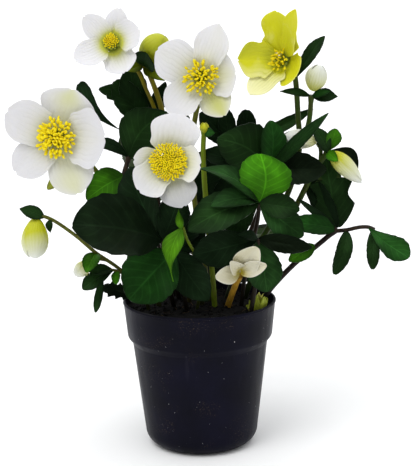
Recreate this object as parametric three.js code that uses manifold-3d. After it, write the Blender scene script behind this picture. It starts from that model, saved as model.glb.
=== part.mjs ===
// A hellebore (Christmas rose) in its black nursery pot: five open flowers, buds, their scapes,
// compound leaves, a crown of young shoots, potting soil and the pot.
// Millimetres, +Z up. The origin is the centre of the pot's flat base.
import * as THREE from 'three';
import { mergeVertices } from 'three/addons/utils/BufferGeometryUtils.js';
import Module from 'manifold-3d';

const wasm = await Module();
wasm.setup();

// ---------------------------------------------------------------- driving dimensions

const POT = {
  rimRadius: 61, // outside radius of the mouth: a nominal 12 cm pot
  height: 118,
  collarRadius: 57.8, // outside radius at the collar's lower edge
  collarBottom: 90,
  bodyTopRadius: 54, // outside radius just under the collar
  bodyTop: 85,
  bodyFootRadius: 45.4, // outside radius where the wall starts to round into the base
  cornerRadius: 13,
  wall: 1.6,
  floor: 2,
  lip: 0.6, // how far the rim's bead stands out
  lipHeight: 2.4,
  segments: 36,
};
const DRAIN = { count: 8, ring: 24, radius: 3.2 };
const SOIL = { top: 115, edge: 111.5, gap: 0.3, segments: 24 };
const SOCKET = { depth: 10, gap: 0.3 }; // how deep the stalks stand in the soil
const CLAW = 3.8; // distance from a flower's axis at which its sepals start
const LAYER = 1.4; // step between overlapping sepals, along the flower's axis
const SEPAL_THICKNESS = 0.6;
const BLADE_THICKNESS = 0.9;
const KNUCKLE = 1.25; // radius of a hub, as a multiple of its stalk's radius
const CURL = 0.12; // lift of a leaflet's edges, per half width
const CUP_REACH = 30; // radius at which a flower's cup has its full slope
const KNOB = { radius: 3.1, back: -4.5, front: 4.4 }; // a flower's receptacle
const DOME_GAP = 0.3; // between the receptacle and the stamens
const EGG = [0.52, 0.6]; // where a closed bud is widest, and how blunt its ends are
const CORNER_STEPS = 4; // facets in the pot's rounded foot
const STALK = { sides: 6, step: 24 }; // facets round a stalk and their greatest length

// ---------------------------------------------------------------- places of the plant's parts

// A flower: head = where its sepals meet, face = the way it looks, cup = rise of a sepal per
// length, bias = [extra rise, direction in degrees], dome = [radius, height] of its stamens,
// sepals = [direction in degrees, reach, width, layer, bluntness if its own], counted
// anticlockwise from its right.
const FLOWERS = [
  {
    name: 'flower_left', head: [-101, -54, 256], face: [-0.12, -1, 0.1], cup: 0.2, bias: [0, 0],
    dome: [14, 9], shape: [0.6, 0.6], tint: 0xf2f0ee,
    sepals: [
      [359, 37.5, 44, 2], [70, 37.5, 42, 0], [151, 40, 33, 2],
      [220, 39.5, 29, 1], [292, 44, 35, 0],
    ],
  },
  {
    name: 'flower_upper_left', head: [-64, 10, 320], face: [-0.05, -1, 0.3], cup: 0.3, bias: [0, 0],
    dome: [5.6, 8], shape: [0.55, 0.62], tint: 0xecebf0,
    sepals: [[21, 23.5, 24, 2], [77, 27, 18, 0], [137, 28, 19, 1], [210, 31, 21, 2], [295, 26.5, 26, 0]],
  },
  {
    name: 'flower_top', head: [4.2, 0, 293.8], face: [0.02, -1, 0.1], cup: 0.25, bias: [0.15, 0],
    dome: [13.5, 9], shape: [0.58, 0.65], tint: 0xf0eff0,
    sepals: [
      [5, 26.5, 35, 1], [71, 42, 27, 2, 0.85], [147, 39.5, 34, 1],
      [226, 37, 28, 2], [300, 34.5, 25, 0],
    ],
  },
  {
    name: 'flower_front', head: [-21, -48, 236], face: [0.05, -1, 0.12], cup: 0.32, bias: [0.1, 350],
    dome: [13.4, 9], shape: [0.6, 0.6], tint: 0xf4f3f2,
    sepals: [
      [353, 23.5, 27, 2], [76, 36, 37, 0], [176, 25.5, 20, 1],
      [223, 30.5, 28, 2], [287, 35, 28, 0],
    ],
  },
  {
    name: 'flower_green', head: [69, 0, 306], face: [-0.55, -0.8, 0.12], cup: 0.68, bias: [0, 0],
    dome: [8.5, 8], shape: [0.6, 0.7], tint: 0xd9dc5a,
    sepals: [
      [50, 46, 15, 2, 0.9], [82, 35.5, 31, 0], [184, 27.5, 28, 2, 0.8],
      [242, 31.5, 21, 1], [324, 22.5, 27, 0],
    ],
  },
];

// A stalk: its radius, then the places it runs through; the first one is its foot in the soil
// when it has only two numbers. A blade: where it starts, its tip, its width, then how far its
// midrib bows towards its face, where it is widest, how blunt its ends are, its own face, and how
// far its midrib sways clockwise, per length.
const SCAPES = [
  {
    name: 'scape_left', flower: 'flower_left', face: [0, -0.6, 0.8], tint: 0x5c6b2c,
    stalks: [[2, [-32, -6], [-37, -4, 138], [-55, 2, 180], [-72, 4, 211], [-88, -14, 237]]],
    blades: [[[-88, -15, 237], [-112, -46, 216], 9, 0.1, 0.75, 0.6, [0, -1, 0.2]]],
  },
  {
    name: 'scape_upper_left', flower: 'flower_upper_left', face: [0, -0.8, 0.6], tint: 0x6b5d2e,
    stalks: [
      [1.6, [-8, 4], [-10, 8, 140], [-16, 16, 190], [-24, 22, 240], [-33, 22, 268],
        [-39, 22, 283], [-46, 20, 299]],
      [2.1, [-24, 22, 240], [-27, 21, 266], [-31, 22, 280], [-36, 22, 294], [-41, 22, 304]],
    ],
    blades: [
      [[-41, 22, 301], [-24, 12, 291], 14, 0.1, 0.5, 0.8],
      [[-41, 22, 302], [-53, 15, 298], 11],
      [[-40, 20.5, 301], [-37, 5, 312.5], 21, 0.1, 0.55, 0.5, [0, -1, 0.4]],
      [[-41.5, 22.5, 301.5], [-57, 27, 311], 11, 0.1, 0.5, 0.8, [-0.4, -0.5, 0.8]],
      [[-41, 23, 301], [-27, 38, 300], 12, 0.1, 0.5, 0.8, [0.3, 0.4, 0.9]],
    ],
  },
  {
    name: 'scape_top', flower: 'flower_top', face: [0, -1, 0], tint: 0x66702f,
    stalks: [[2.2, [8, 2], [5, 4, 140], [-2, 10, 190], [-5, 13, 230], [0, 15, 265], [5, 12, 284]]],
  },
  {
    name: 'scape_front', flower: 'flower_front', face: [0, -1, 0], tint: 0x66702f,
    stalks: [[2.2, [2, -8], [-1, -11, 145], [-9, -17, 185], [-17, -26, 214]]],
  },
  {
    name: 'scape_green', flower: 'flower_green', face: [0, -0.9, 0.5], tint: 0x6d7a34,
    stalks: [
      [2.3, [22, 14], [34, 15, 140], [52, 14, 165], [72, 13, 200], [81, 13, 235], [80, 14, 262],
        [78, 12, 290]],
      [2.1, [81, 13, 235], [88, 10, 255], [90, 6, 278]],
    ],
    blades: [
      [[90, 6, 277], [65, 0, 282], 7],
      [[90, 6, 277], [110, 2, 277], 12, 0.06],
      [[90, 5, 277], [104, -1, 281.5], 7],
      [[78, 12, 290], [101, 14, 323], 12, 0.1, 0.6, 0.8, [-0.4, -0.9, 0.3]],
    ],
  },
  {
    name: 'scape_right_buds', face: [0.3, -0.9, 0.4], tint: 0x6d7a34,
    stalks: [
      [2.4, [36, 12], [46, 10, 138], [60, 6, 162], [77, 3, 190], [92, 3, 219], [103, 2, 235]],
      [1.6, [97, 4, 227], [97, 5, 236], [94.5, 3, 240.5]],
    ],
    blades: [
      [[103, 2, 235], [108.5, 2, 252], 13.5, 0.1, 0.62, 0.6],
      [[103, 0, 233], [92, 0, 253], 13, 0.1, 0.55, 0.6],
      [[102, 1, 234], [109, -9, 228], 9, 0.15, 0.5, 0.7, [-0.2, -1, 0.2]],
      [[103, 4, 234], [126, 4, 216], 7.5, 0.1, 0.55, 0.6, [0.2, -1, 0.3], -0.32],
    ],
  },
  {
    name: 'scape_left_buds', face: [-0.2, -0.8, 0.5], tint: 0x5f7a33,
    stalks: [
      [1.5, [-40, -14], [-43, -15, 122], [-51, -17, 136], [-63, -20, 149], [-79, -28, 163],
        [-94, -36, 179], [-111, -43, 193], [-121, -46, 197]],
      [1.3, [-71, -24, 156], [-77, -28, 158], [-82, -32, 158]],
      [1.2, [-57, -18.5, 143], [-66, -24, 148], [-75, -28, 149]],
    ],
    blades: [
      [[-115, -44.5, 194.5], [-133, -48, 202], 11, 0.15, 0.5, 0.8],
      [[-111, -43, 193], [-111, -46, 183], 6, 0.2],
      [[-79, -28, 162.5], [-85, -43, 151], 14, 0.15, 0.5, 0.6, [-0.2, -1, 0.3]],
      [[-66, -24, 148], [-84, -34, 149.5], 10, 0.1, 0.6, 0.6],
      [[-66, -24, 148], [-89, -40, 137], 14, 0.1, 0.65, 0.6],
      [[-74, -27.5, 149], [-80, -38, 118], 7, -0.08, 0.65, 0.6],
      [[-64, -23, 146.8], [-64, -29, 138], 7.5, 0.1, 0.5, 0.5],
      [[-43, -15, 122], [-76, -10, 131], 15, 0.05, 0.7, 0.5, [0.1, -0.9, 0.4]],
    ],
  },
  {
    name: 'scape_low', face: [0, -1, 0], tint: 0xb98a3a,
    stalks: [[2.5, [22, -15], [25, -22, 125], [31, -37, 145]]],
  },
  {
    name: 'scape_young_bud', face: [0.3, -0.9, 0.3], tint: 0x6f8238,
    stalks: [[2.2, [12, -12], [10, -12, 150], [7, -10, 190], [5, -9, 235], [6, -10, 254]]],
    blades: [[[6, -10, 252], [14, -13, 252], 8, 0.2, 0.5, 0.8]],
    tipBud: [[6, -10, 251.5], [6, -11, 260], 5.5],
  },
];

// A bud: base, tip, width, and its shape where it is its own; a bud that is opening has its loose
// sepals as blades round that core.
const BUDS = [
  {
    name: 'bud_nodding', base: [-42, 22, 307.5], tip: [-21, 19, 322.5], width: 21,
    shape: [0.52, 0.45], tint: 0xb5b42e,
  },
  { name: 'bud_upright', base: [91, 5.8, 281.2], tip: [97, 4, 301.5], width: 15.5, tint: 0xe9ecd0 },
  { name: 'bud_behind', base: [93.5, 1.5, 241.6], tip: [67, -2, 247], width: 13, tint: 0xe6e2cf },
  {
    name: 'bud_right', base: [105, 0.7, 233.4], tip: [128, -9, 210.5], width: 13,
    shape: [0.4, 0.75], tint: 0xe8ecc4,
  },
  {
    name: 'bud_pendant', base: [-121.5, -46.4, 195.2], tip: [-124, -50, 164], width: 18.5,
    shape: [0.58, 0.5], tint: 0xe4e8b0,
  },
  { name: 'bud_small', base: [-83.4, -32.7, 156.6], tip: [-95, -38, 148], width: 9.5, tint: 0xe0e39a },
  {
    name: 'bud_half_open', base: [31.7, -39.3, 148], tip: [33, -40.5, 155], width: 5.5,
    face: [0, -1, 0.2], tint: 0xefe9d2,
    blades: [
      [[31, -40.5, 150], [45, -57, 171.5], 20, 0.12, 0.55, 0.5],
      [[31.2, -40.4, 149.5], [24, -57, 161], 11, 0.12, 0.55, 0.7],
      [[31.5, -40.5, 149], [51.5, -60, 158.5], 12, 0.14, 0.6, 0.55],
      [[31.7, -39.3, 148], [12.5, -54, 148], 14, 0.1, 0.6, 0.6],
    ],
  },
];

// A compound leaf: one petiole, and leaflets that spread from its top.
const LEAVES = [
  {
    name: 'leaf_front_right', face: [0, -0.85, 0.5], tint: 0x1f3a1c,
    stalks: [[1.7, [33, -10], [38, -13, 150], [46, -24, 185], [47, -30, 200]]],
    blades: [
      [[47, -30, 200], [48, -38, 239], 41, 0.06, 0.6, 0.5, [0, -1, 0.1], 0.1],
      [[47, -30, 200], [2, -46, 230], 22, 0.16, 0.45, 0.9, [0, -0.6, 0.8]],
      [[47, -30, 200], [10, -60, 204], 20, 0.14, 0.6, 0.8, [0, -0.7, 0.7]],
      [[47, -30, 200], [-7, -66, 187], 32, 0.14, 0.6, 0.7, [0, -0.8, 0.6]],
      [[47, -30, 200], [22, -25, 176], 22, 0.1, 0.6, 0.8],
      [[47, -30, 200], [77, -44, 197], 20, 0.04, 0.55, 0.7, [0, -1, 0.2]],
      [[47, -30, 200], [80, -38, 175], 24, 0.05, 0.6, 0.7, [0, -1, 0.2]],
    ],
  },
  {
    name: 'leaf_low_right', face: [0.1, -0.85, 0.5], tint: 0x16291a,
    stalks: [[1.8, [40, -32], [44, -32, 140], [46, -34, 173]]],
    blades: [
      [[46, -34, 173], [-4, -42, 163], 29, 0.08, 0.6, 0.7, [0, -1, 0.15]],
      [[46, -34, 173], [30, -46, 179], 9],
      [[46, -34, 173], [86, -50, 169], 15, 0.04, 0.5, 0.7, [0, -1, 0.15]],
      [[46, -34, 173], [52, -38, 132], 29, 0.04, 0.6, 0.65, [0.2, -1, 0.1]],
    ],
  },
  {
    name: 'leaf_left', face: [-0.1, -0.8, 0.6], tint: 0x152a1a,
    stalks: [[1.9, [-20, -12], [-25, -20, 140], [-27, -38, 174]]],
    blades: [
      [[-27, -38, 174], [-91, -78, 195], 56, 0.1, 0.6, 0.65],
      [[-27, -38, 174], [-52, -14, 227], 33, 0.1, 0.6, 0.7, [-0.2, -1, -0.2]],
      [[-27, -37, 174], [-80, -28, 169], 14, 0.03, 0.5, 0.6, [0, -1, 0.2]],
      [[-27, -38, 174], [-13, -29, 208], 26, 0.1, 0.55, 0.7, [0, -1, 0]],
    ],
  },
  {
    name: 'leaf_low_left', face: [-0.2, -0.9, 0.4], tint: 0x24472a,
    stalks: [[1.8, [-10, -22], [-14, -26, 140], [-19, -34, 164]]],
    blades: [
      [[-19, -34, 164], [-53, -50, 131], 46, 0.1, 0.55, 0.6, [-0.1, -1, 0.3]],
      [[-19, -34, 164], [7, -42, 127], 29, 0.05, 0.5, 0.7],
      [[-19, -34, 164], [1, -16, 189], 18, 0.1, 0.6, 0.8, [0, -1, 0.3]],
      [[-19, -34, 164], [6, -22, 178], 18, 0.06, 0.5, 0.7, [0, -1, 0.2]],
    ],
  },
  {
    name: 'leaf_upper_left', face: [0, -0.9, 0.3], tint: 0x1a2c1e,
    stalks: [
      [2.1, [-16, 10], [-26, 6, 150], [-48, 4, 188], [-58, 4, 212], [-54, 10, 231]],
      [1.4, [-54, 10.5, 231], [-56, 14, 241], [-57, 14.5, 252]],
    ],
    blades: [
      [[-54, 10, 231], [-22, 8, 266], 38, 0.06, 0.5, 0.65, null, -0.12],
      [[-57, 14, 251], [-90, 0, 291], 13, 0.08, 0.84, 0.4, null, -0.1],
      [[-54, 10, 231], [-81, 4, 245], 10, 0.06, 0.6, 0.6, null, 0.1],
      [[-57, 4.5, 217], [-86, -14, 202], 27, 0.1, 0.5, 0.6, [0, -1, 0.2], 0.04],
      [[-54, 10, 231], [-46, 64, 204], 26, 0.14, 0.6, 0.7, [0, 0.2, 1]],
    ],
  },
  {
    name: 'leaf_right', face: [0, -0.9, 0.4], tint: 0x1b331d,
    stalks: [[1.8, [24, 2], [32, -1, 150], [48, -4, 190], [56, -4, 220]]],
    blades: [
      [[56, -4, 220], [101, -20, 267], 11, 0.1, 0.5, 0.8, [0.3, -0.8, 0.5]],
      [[56, -4, 220], [16, -10, 247], 42, 0.08, 0.5, 0.65, null, 0.13],
      [[56, -4, 220], [4, -4, 236], 20, 0.06, 0.6, 0.7],
      [[56, -4, 220], [58, -4, 260], 22, 0.08, 0.58, 0.6, [0.2, -1, 0], 0.05],
      [[56, -4, 220], [100, -13, 222], 27, 0.06, 0.5, 0.65, [0, -0.9, 0.4]],
      [[56, -4, 220], [58, 46, 204], 24, 0.14, 0.6, 0.7, [0, 0.2, 1]],
      [[56, -4, 220], [12, 17, 193], 30, 0.05, 0.5, 0.7, [0, -1, 0.2]],
    ],
  },
  {
    name: 'leaf_far_right', face: [0.1, -0.9, 0.4], tint: 0x213d20,
    stalks: [
      [2.2, [49, -2], [52, -2, 119], [61, -1, 130], [78, 0, 147], [92, 0, 158], [110, 0, 173]],
      [1.6, [108, 0, 171], [117, -6, 173], [126, -11, 176], [133, -14, 176.5], [137, -16.5, 175]],
    ],
    blades: [
      [[110, 0, 173], [102, 18.5, 228], 39, 0.04, 0.52, 0.6, [0.1, -1, 0]],
      [[110, 0, 173], [86, 12, 216], 18, 0.04, 0.5, 0.7, [0, -1, 0.2]],
      [[110, 0, 173], [70, -12, 181], 17, 0.06, 0.5, 0.7, [0, -0.9, 0.4]],
      [[110, 0, 173], [79, -6, 198], 6, 0.04, 0.5, 0.6, [0, -1, 0.2]],
      [[117, -6, 172], [106, -18, 140], 13.5, 0.06, 0.5, 0.5, null, -0.05],
      [[136, -16, 175.5], [135, -24, 145], 11, 0.04, 0.55, 0.5],
      [[132, -14, 176.5], [162, -30, 155], 21, 0.12, 0.72, 0.6, null, 0.07],
      [[92, -1, 160], [71, -7, 149], 13, 0.1, 0.5, 0.6, [0, -1, 0.3]],
    ],
  },
  {
    name: 'leaf_young', face: [-0.4, -0.9, 0.2], tint: 0x7fb52c,
    stalks: [[1.2, [-2, -20], [2, -22, 138], [-1, -31, 158], [-8, -43, 175], [-11, -50, 186]]],
    blades: [
      [[-11, -50, 187], [-19, -57, 146], 16, 0.1, 0.32, 2.4, [-0.35, -1, 0.1], 0.1],
      [[-12, -50, 184], [-14, -51, 200], 6.5, 0.1, 0.45, 1.3, [-0.3, -1, 0.2]],
    ],
  },
  {
    name: 'leaf_back', face: [0, 0.5, 0.85], tint: 0x1d3620,
    stalks: [
      [2, [4, 28], [3, 42, 150], [0, 60, 185]],
      [1.6, [3, 38, 140], [-16, 52, 152], [-30, 62, 157]],
      [1.6, [3, 40, 144], [18, 50, 152], [32, 58, 155]],
    ],
    blades: [
      [[-30, 62, 157], [-84, 76, 146], 30, 0.14, 0.6, 0.7],
      [[-30, 62, 157], [-66, 108, 136], 32, 0.16, 0.6, 0.7],
      [[-30, 62, 157], [-22, 116, 134], 30, 0.16, 0.6, 0.7],
      [[32, 58, 155], [86, 68, 142], 30, 0.14, 0.6, 0.7],
      [[32, 58, 155], [70, 104, 134], 32, 0.16, 0.6, 0.7],
      [[32, 58, 155], [22, 114, 136], 28, 0.16, 0.6, 0.7],
      [[-30, 62, 157], [-50, 74, 113], 30, 0.05, 0.6, 0.7, [0, -1, 0.2]],
      [[-30, 62, 157], [-15, 78, 111], 36, 0.05, 0.6, 0.7, [0, -1, 0.2]],
      [[32, 58, 155], [15, 76, 111], 36, 0.05, 0.6, 0.7, [0, -1, 0.2]],
      [[32, 58, 155], [50, 72, 113], 30, 0.05, 0.6, 0.7, [0, -1, 0.2]],
      [[32, 58, 155], [32, 72, 112], 34, 0.05, 0.5, 0.6, [0, -1, 0.2]],
      [[0, 60, 185], [-60, 92, 188], 32, 0.12, 0.6, 0.7],
      [[0, 60, 185], [-34, 122, 176], 34, 0.14, 0.6, 0.7],
      [[0, 60, 185], [6, 130, 180], 36, 0.14, 0.6, 0.7],
      [[0, 60, 185], [44, 116, 174], 34, 0.14, 0.6, 0.7],
      [[0, 60, 185], [56, 78, 186], 30, 0.12, 0.6, 0.7],
      [[0, 60, 185], [9, 52, 230], 38, 0.05, 0.6, 0.7, [0, -1, 0.1]],
      [[0, 60, 185], [30, 54, 220], 32, 0.05, 0.6, 0.7, [0, -1, 0.1]],
    ],
  },
  {
    name: 'leaf_back_left', face: [-0.2, 0.3, 0.9], tint: 0x1b3020,
    stalks: [[1.9, [-20, 24], [-27, 32, 160], [-36, 36, 215], [-38, 35, 251]]],
    blades: [
      [[-38, 35, 251], [-77, 27, 284], 24, 0.06, 0.6, 0.8, [0, -1, 0.3], 0.22],
      [[-38, 35, 251], [-64, 28, 290], 24, 0.06, 0.6, 0.5, [0, -1, 0.3]],
      [[-38, 35, 251], [-52, 30, 303], 24, 0.06, 0.6, 0.6, [0, -1, 0.3], -0.08],
      [[-38, 35, 251], [-24, 32, 288], 13, 0.08, 0.6, 0.8, [0, -1, 0.2]],
      [[-38, 35, 251], [-58, 90, 216], 26, 0.14, 0.6, 0.7],
      [[-38, 35, 251], [-34, 104, 222], 30, 0.14, 0.6, 0.7],
      [[-38, 35, 251], [-8, 96, 236], 32, 0.14, 0.6, 0.7],
    ],
  },
  {
    name: 'leaf_back_right', face: [0.2, 0.3, 0.9], tint: 0x1b3020,
    stalks: [[1.9, [24, 26], [27, 34, 160], [30, 42, 205], [31, 45, 231]]],
    blades: [
      [[31, 45, 231], [23, 40, 266], 15, 0.06, 0.6, 0.6, [0, -1, 0.2], -0.05],
      [[31, 45, 231], [41, 38, 264], 17, 0.06, 0.68, 0.45, [0.2, -1, 0.2], 0.08],
      [[31, 45, 231], [3, 42, 262], 22, 0.06, 0.6, 0.7, [0, -1, 0.3]],
      [[31, 45, 231], [94, 36, 264], 11, 0.05, 0.55, 0.7, [0, -1, 0.3]],
      [[31, 45, 231], [34, 102, 224], 34, 0.14, 0.6, 0.7],
      [[31, 45, 231], [74, 84, 214], 30, 0.14, 0.6, 0.7],
    ],
  },
];

// The crown: a knot of rootstock at the soil's surface with young folded shoots on it.
const CROWN = {
  name: 'crown_shoots', centre: [45, -18, 111], radius: 8, depth: 6, tint: 0x9aa83a,
  shoots: [[-4, -4, 12, 6], [2, -5, 17, 7], [6, -1, 15, 6], [-1, 3, 13, 7], [-6, 1, 8, 5]],
};

// ---------------------------------------------------------------- shaping tools

const vec = (place) => new THREE.Vector3(...place);

function finish(tint, roughness) {
  return new THREE.MeshStandardMaterial({ color: tint, roughness, metalness: 0 });
}

function toSolid(geometry) {
  const bare = geometry.clone();
  bare.deleteAttribute('normal');
  bare.deleteAttribute('uv');
  const merged = mergeVertices(bare, 1e-4);
  return new wasm.Manifold(new wasm.Mesh({
    numProp: 3,
    vertProperties: new Float32Array(merged.attributes.position.array),
    triVerts: new Uint32Array(merged.index.array),
  }));
}

function toGeometry(solid) {
  const { vertProperties, triVerts } = solid.getMesh();
  const geometry = new THREE.BufferGeometry();
  geometry.setAttribute('position', new THREE.BufferAttribute(vertProperties, 3));
  geometry.setIndex(new THREE.BufferAttribute(triVerts, 1));
  return geometry;
}

function joined(geometries) {
  return toGeometry(geometries.map(toSolid).reduce((whole, piece) => whole.add(piece)));
}

// A round stalk along a smooth curve through the given places.
function tube(places, radius) {
  const path = new THREE.CatmullRomCurve3(places.map(vec));
  const section = new THREE.Shape().absarc(0, 0, radius, 0, Math.PI * 2);
  const steps = Math.max(3, Math.ceil(path.getLength() / STALK.step));
  return new THREE.ExtrudeGeometry(section, {
    steps, curveSegments: STALK.sides / 2, bevelEnabled: false, extrudePath: path,
  });
}

// The triangles of a sphere's grid. Its back half is split along the other diagonal, so that
// the two faces of a thin lens bend alike and never cross.
function lensTriangles(sides, steps) {
  const triangles = [];
  for (let row = 0; row < steps; row += 1) {
    for (let column = 0; column < sides; column += 1) {
      const b = row * (sides + 1) + column;
      const [a, c, d] = [b + 1, b + sides + 1, b + sides + 2];
      const [upper, lower] = column < sides / 2 ? [[a, b, d], [b, c, d]] : [[a, b, c], [a, c, d]];
      if (row > 0) triangles.push(...upper);
      if (row < steps - 1) triangles.push(...lower);
    }
  }
  return triangles;
}

// A sphere whose points are placed anew: t runs from the base (0) to the tip (1), across from
// edge to edge (-1 to 1) and through from the back to the face (-1 to 1).
function reshapedSphere(sides, steps, place) {
  const geometry = new THREE.SphereGeometry(1, sides, steps);
  geometry.setIndex(lensTriangles(sides, steps));
  const points = geometry.attributes.position;
  for (let i = 0; i < points.count; i += 1) {
    const [x, y, z] = [points.getX(i), points.getY(i), points.getZ(i)];
    const ring = Math.hypot(x, z);
    const t = Math.acos(THREE.MathUtils.clamp(-y, -1, 1)) / Math.PI;
    const [across, through] = ring > 1e-6 ? [x / ring, z / ring] : [0, 0];
    points.setXYZ(i, ...place(t, across, through).toArray());
  }
  return geometry;
}

// How wide a blade is at t: widest at belly, and blunter at its ends as bluntness falls.
function outline(t, belly, bluntness) {
  const warp = Math.log(0.5) / Math.log(belly);
  return Math.sin(Math.PI * THREE.MathUtils.clamp(t, 0, 1) ** warp) ** bluntness;
}

// A leaflet, bract or loose sepal: a thin curved lens with a bowed midrib.
function blade([base, tip, width, bow = 0.1, belly = 0.5, bluntness = 1, ownFace = null, sway = 0], face) {
  const from = vec(base);
  const along = vec(tip).sub(from);
  const length = along.length();
  along.normalize();
  const wanted = vec(ownFace ?? face);
  const up = wanted.addScaledVector(along, -wanted.dot(along)).normalize();
  const side = new THREE.Vector3().crossVectors(along, up);
  const [sides, steps] = width > 16 ? [8, 5] : [6, 4];
  return reshapedSphere(sides, steps, (t, across, through) => {
    const half = (width / 2) * outline(t, belly, bluntness);
    const rise = 4 * bow * length * t * (1 - t) + CURL * half * across * across;
    const thick = (BLADE_THICKNESS / 2) * Math.sin(Math.PI * t) ** 0.5;
    return from.clone()
      .addScaledVector(along, length * t)
      .addScaledVector(side, half * across + sway * length * Math.sin(Math.PI * t))
      .addScaledVector(up, rise + thick * through);
  });
}

// A closed bud: an egg between its base and its tip.
function egg([base, tip, width, shape = EGG], sides = 8, steps = 6) {
  const from = vec(base);
  const along = vec(tip).sub(from);
  const length = along.length();
  along.normalize();
  const up = new THREE.Vector3(along.y, -along.x, 0).normalize();
  const side = new THREE.Vector3().crossVectors(along, up);
  return reshapedSphere(sides, steps, (t, across, through) => {
    const radius = (width / 2) * outline(t, ...shape);
    return from.clone()
      .addScaledVector(along, length * t)
      .addScaledVector(side, radius * across)
      .addScaledVector(up, radius * through);
  });
}

// ---------------------------------------------------------------- flowers

// The axes of a flower: its right, its top and the way it looks.
function flowerAxes({ head, face }) {
  const look = vec(face).normalize();
  const top = new THREE.Vector3(0, 0, 1);
  top.addScaledVector(look, -top.dot(look)).normalize();
  return { origin: vec(head), right: new THREE.Vector3().crossVectors(top, look), top, look };
}

// All sepals of a flower lie on one cupped surface, so their layers never meet.
function cupHeight({ cup, bias }, x, y) {
  const radius = Math.hypot(x, y);
  const [extra, towards] = bias;
  const turn = Math.atan2(y, x) - THREE.MathUtils.degToRad(towards);
  return (cup + extra * Math.cos(turn)) * radius * Math.min(1, radius / CUP_REACH) ** 0.5;
}

function sepal(flower, [direction, reach, width, layer, ownBluntness]) {
  const { origin, right, top, look } = flowerAxes(flower);
  const turn = THREE.MathUtils.degToRad(direction);
  const [belly, bluntness] = flower.shape;
  return reshapedSphere(8, 6, (t, across, through) => {
    const out = CLAW + (reach - CLAW) * t;
    const half = (width / 2) * outline(t, belly, ownBluntness ?? bluntness);
    const x = out * Math.cos(turn) + half * across * Math.sin(turn);
    const y = out * Math.sin(turn) - half * across * Math.cos(turn);
    const thick = (SEPAL_THICKNESS / 2) * Math.sin(Math.PI * t) ** 0.5;
    const height = cupHeight(flower, x, y) + LAYER * layer + thick * through;
    return origin.clone()
      .addScaledVector(right, x)
      .addScaledVector(top, y)
      .addScaledVector(look, height);
  });
}

// A body turned about a flower's axis from a profile of [radius, height] points.
function turned(flower, profile, segments) {
  const { origin, right, top, look } = flowerAxes(flower);
  const lathe = new THREE.LatheGeometry(profile.map((point) => new THREE.Vector2(...point)), segments);
  const frame = new THREE.Matrix4().makeBasis(right, look, top.clone().negate()).setPosition(origin);
  return lathe.applyMatrix4(frame);
}

function stamenDome(flower) {
  const [radius, height] = flower.dome;
  const foot = KNOB.front + DOME_GAP;
  return turned(flower, [
    [0, foot], [2.4, foot], [radius * 0.6, foot + height * 0.35], [radius, foot + height * 0.65],
    [radius * 0.85, foot + height * 0.92], [radius * 0.4, foot + height], [0, foot + height],
  ], 10);
}

function receptacle(flower) {
  const { radius, back, front } = KNOB;
  const profile = [[0, back], [radius * 0.7, back], [radius, back + 2], [radius, front], [0, front]];
  return turned(flower, profile, 8);
}

// Where a scape meets its flower: just behind the head, on the flower's own axis.
function neck(flower, distance) {
  const { origin, look } = flowerAxes(flower);
  return origin.addScaledVector(look, -distance).toArray();
}

// ---------------------------------------------------------------- stalks and leaves

// A foot is given by two numbers: the stalk stands in the soil there.
function rooted(places) {
  const [foot, ...rest] = places;
  if (foot.length === 3) return places;
  const [x, y] = foot;
  return [[x, y, SOIL.edge - SOCKET.depth], [x, y, SOIL.top - 2], ...rest];
}

function stalkRuns({ stalks, flower }) {
  return stalks.map(([radius, ...places], index) => {
    const run = rooted(places);
    const bloom = index === 0 && FLOWERS.find(({ name }) => name === flower);
    if (bloom) run.push(neck(bloom, 10), neck(bloom, 3));
    return { radius, run, bloom };
  });
}

function growth(part) {
  const pieces = [];
  for (const { radius, run, bloom } of stalkRuns(part)) {
    pieces.push(tube(run, radius));
    if (bloom) pieces.push(receptacle(bloom));
    else pieces.push(new THREE.SphereGeometry(radius * KNUCKLE, 6, 4).translate(...run.at(-1)));
  }
  for (const row of part.blades ?? []) pieces.push(blade(row, part.face));
  if (part.tipBud) pieces.push(egg(part.tipBud, 6, 5));
  return joined(pieces);
}

// ---------------------------------------------------------------- crown, pot and soil

function crownBody(grow = 0) {
  const { centre, radius, depth } = CROWN;
  const size = [radius + grow, radius + grow, depth + grow];
  return new THREE.SphereGeometry(1, 12, 8).scale(...size).translate(...centre);
}

function crown() {
  const [cx, cy, cz] = CROWN.centre;
  const shoots = CROWN.shoots.map(([dx, dy, height, width]) => egg([
    [cx + dx * 0.5, cy + dy * 0.5, cz + 2], [cx + dx, cy + dy, cz + height], width,
  ], 6, 5));
  return joined([crownBody(), ...shoots]);
}

// Points [radius, height] of the pot's outside, from the floor's centre to the rim.
function potOutside() {
  const { rimRadius, height, lip, lipHeight, cornerRadius, bodyFootRadius } = POT;
  const corner = [];
  for (let i = 0; i <= CORNER_STEPS; i += 1) {
    const turn = (i / CORNER_STEPS) * (Math.PI / 2);
    corner.push([
      bodyFootRadius - cornerRadius * (1 - Math.sin(turn)),
      cornerRadius * (1 - Math.cos(turn)),
    ]);
  }
  return [
    [0, 0], ...corner, [POT.bodyTopRadius, POT.bodyTop], [POT.collarRadius, POT.collarBottom],
    [rimRadius - lip, height - lipHeight], [rimRadius, height - lipHeight + lip],
    [rimRadius, height - lip], [rimRadius - lip, height],
  ];
}

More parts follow.
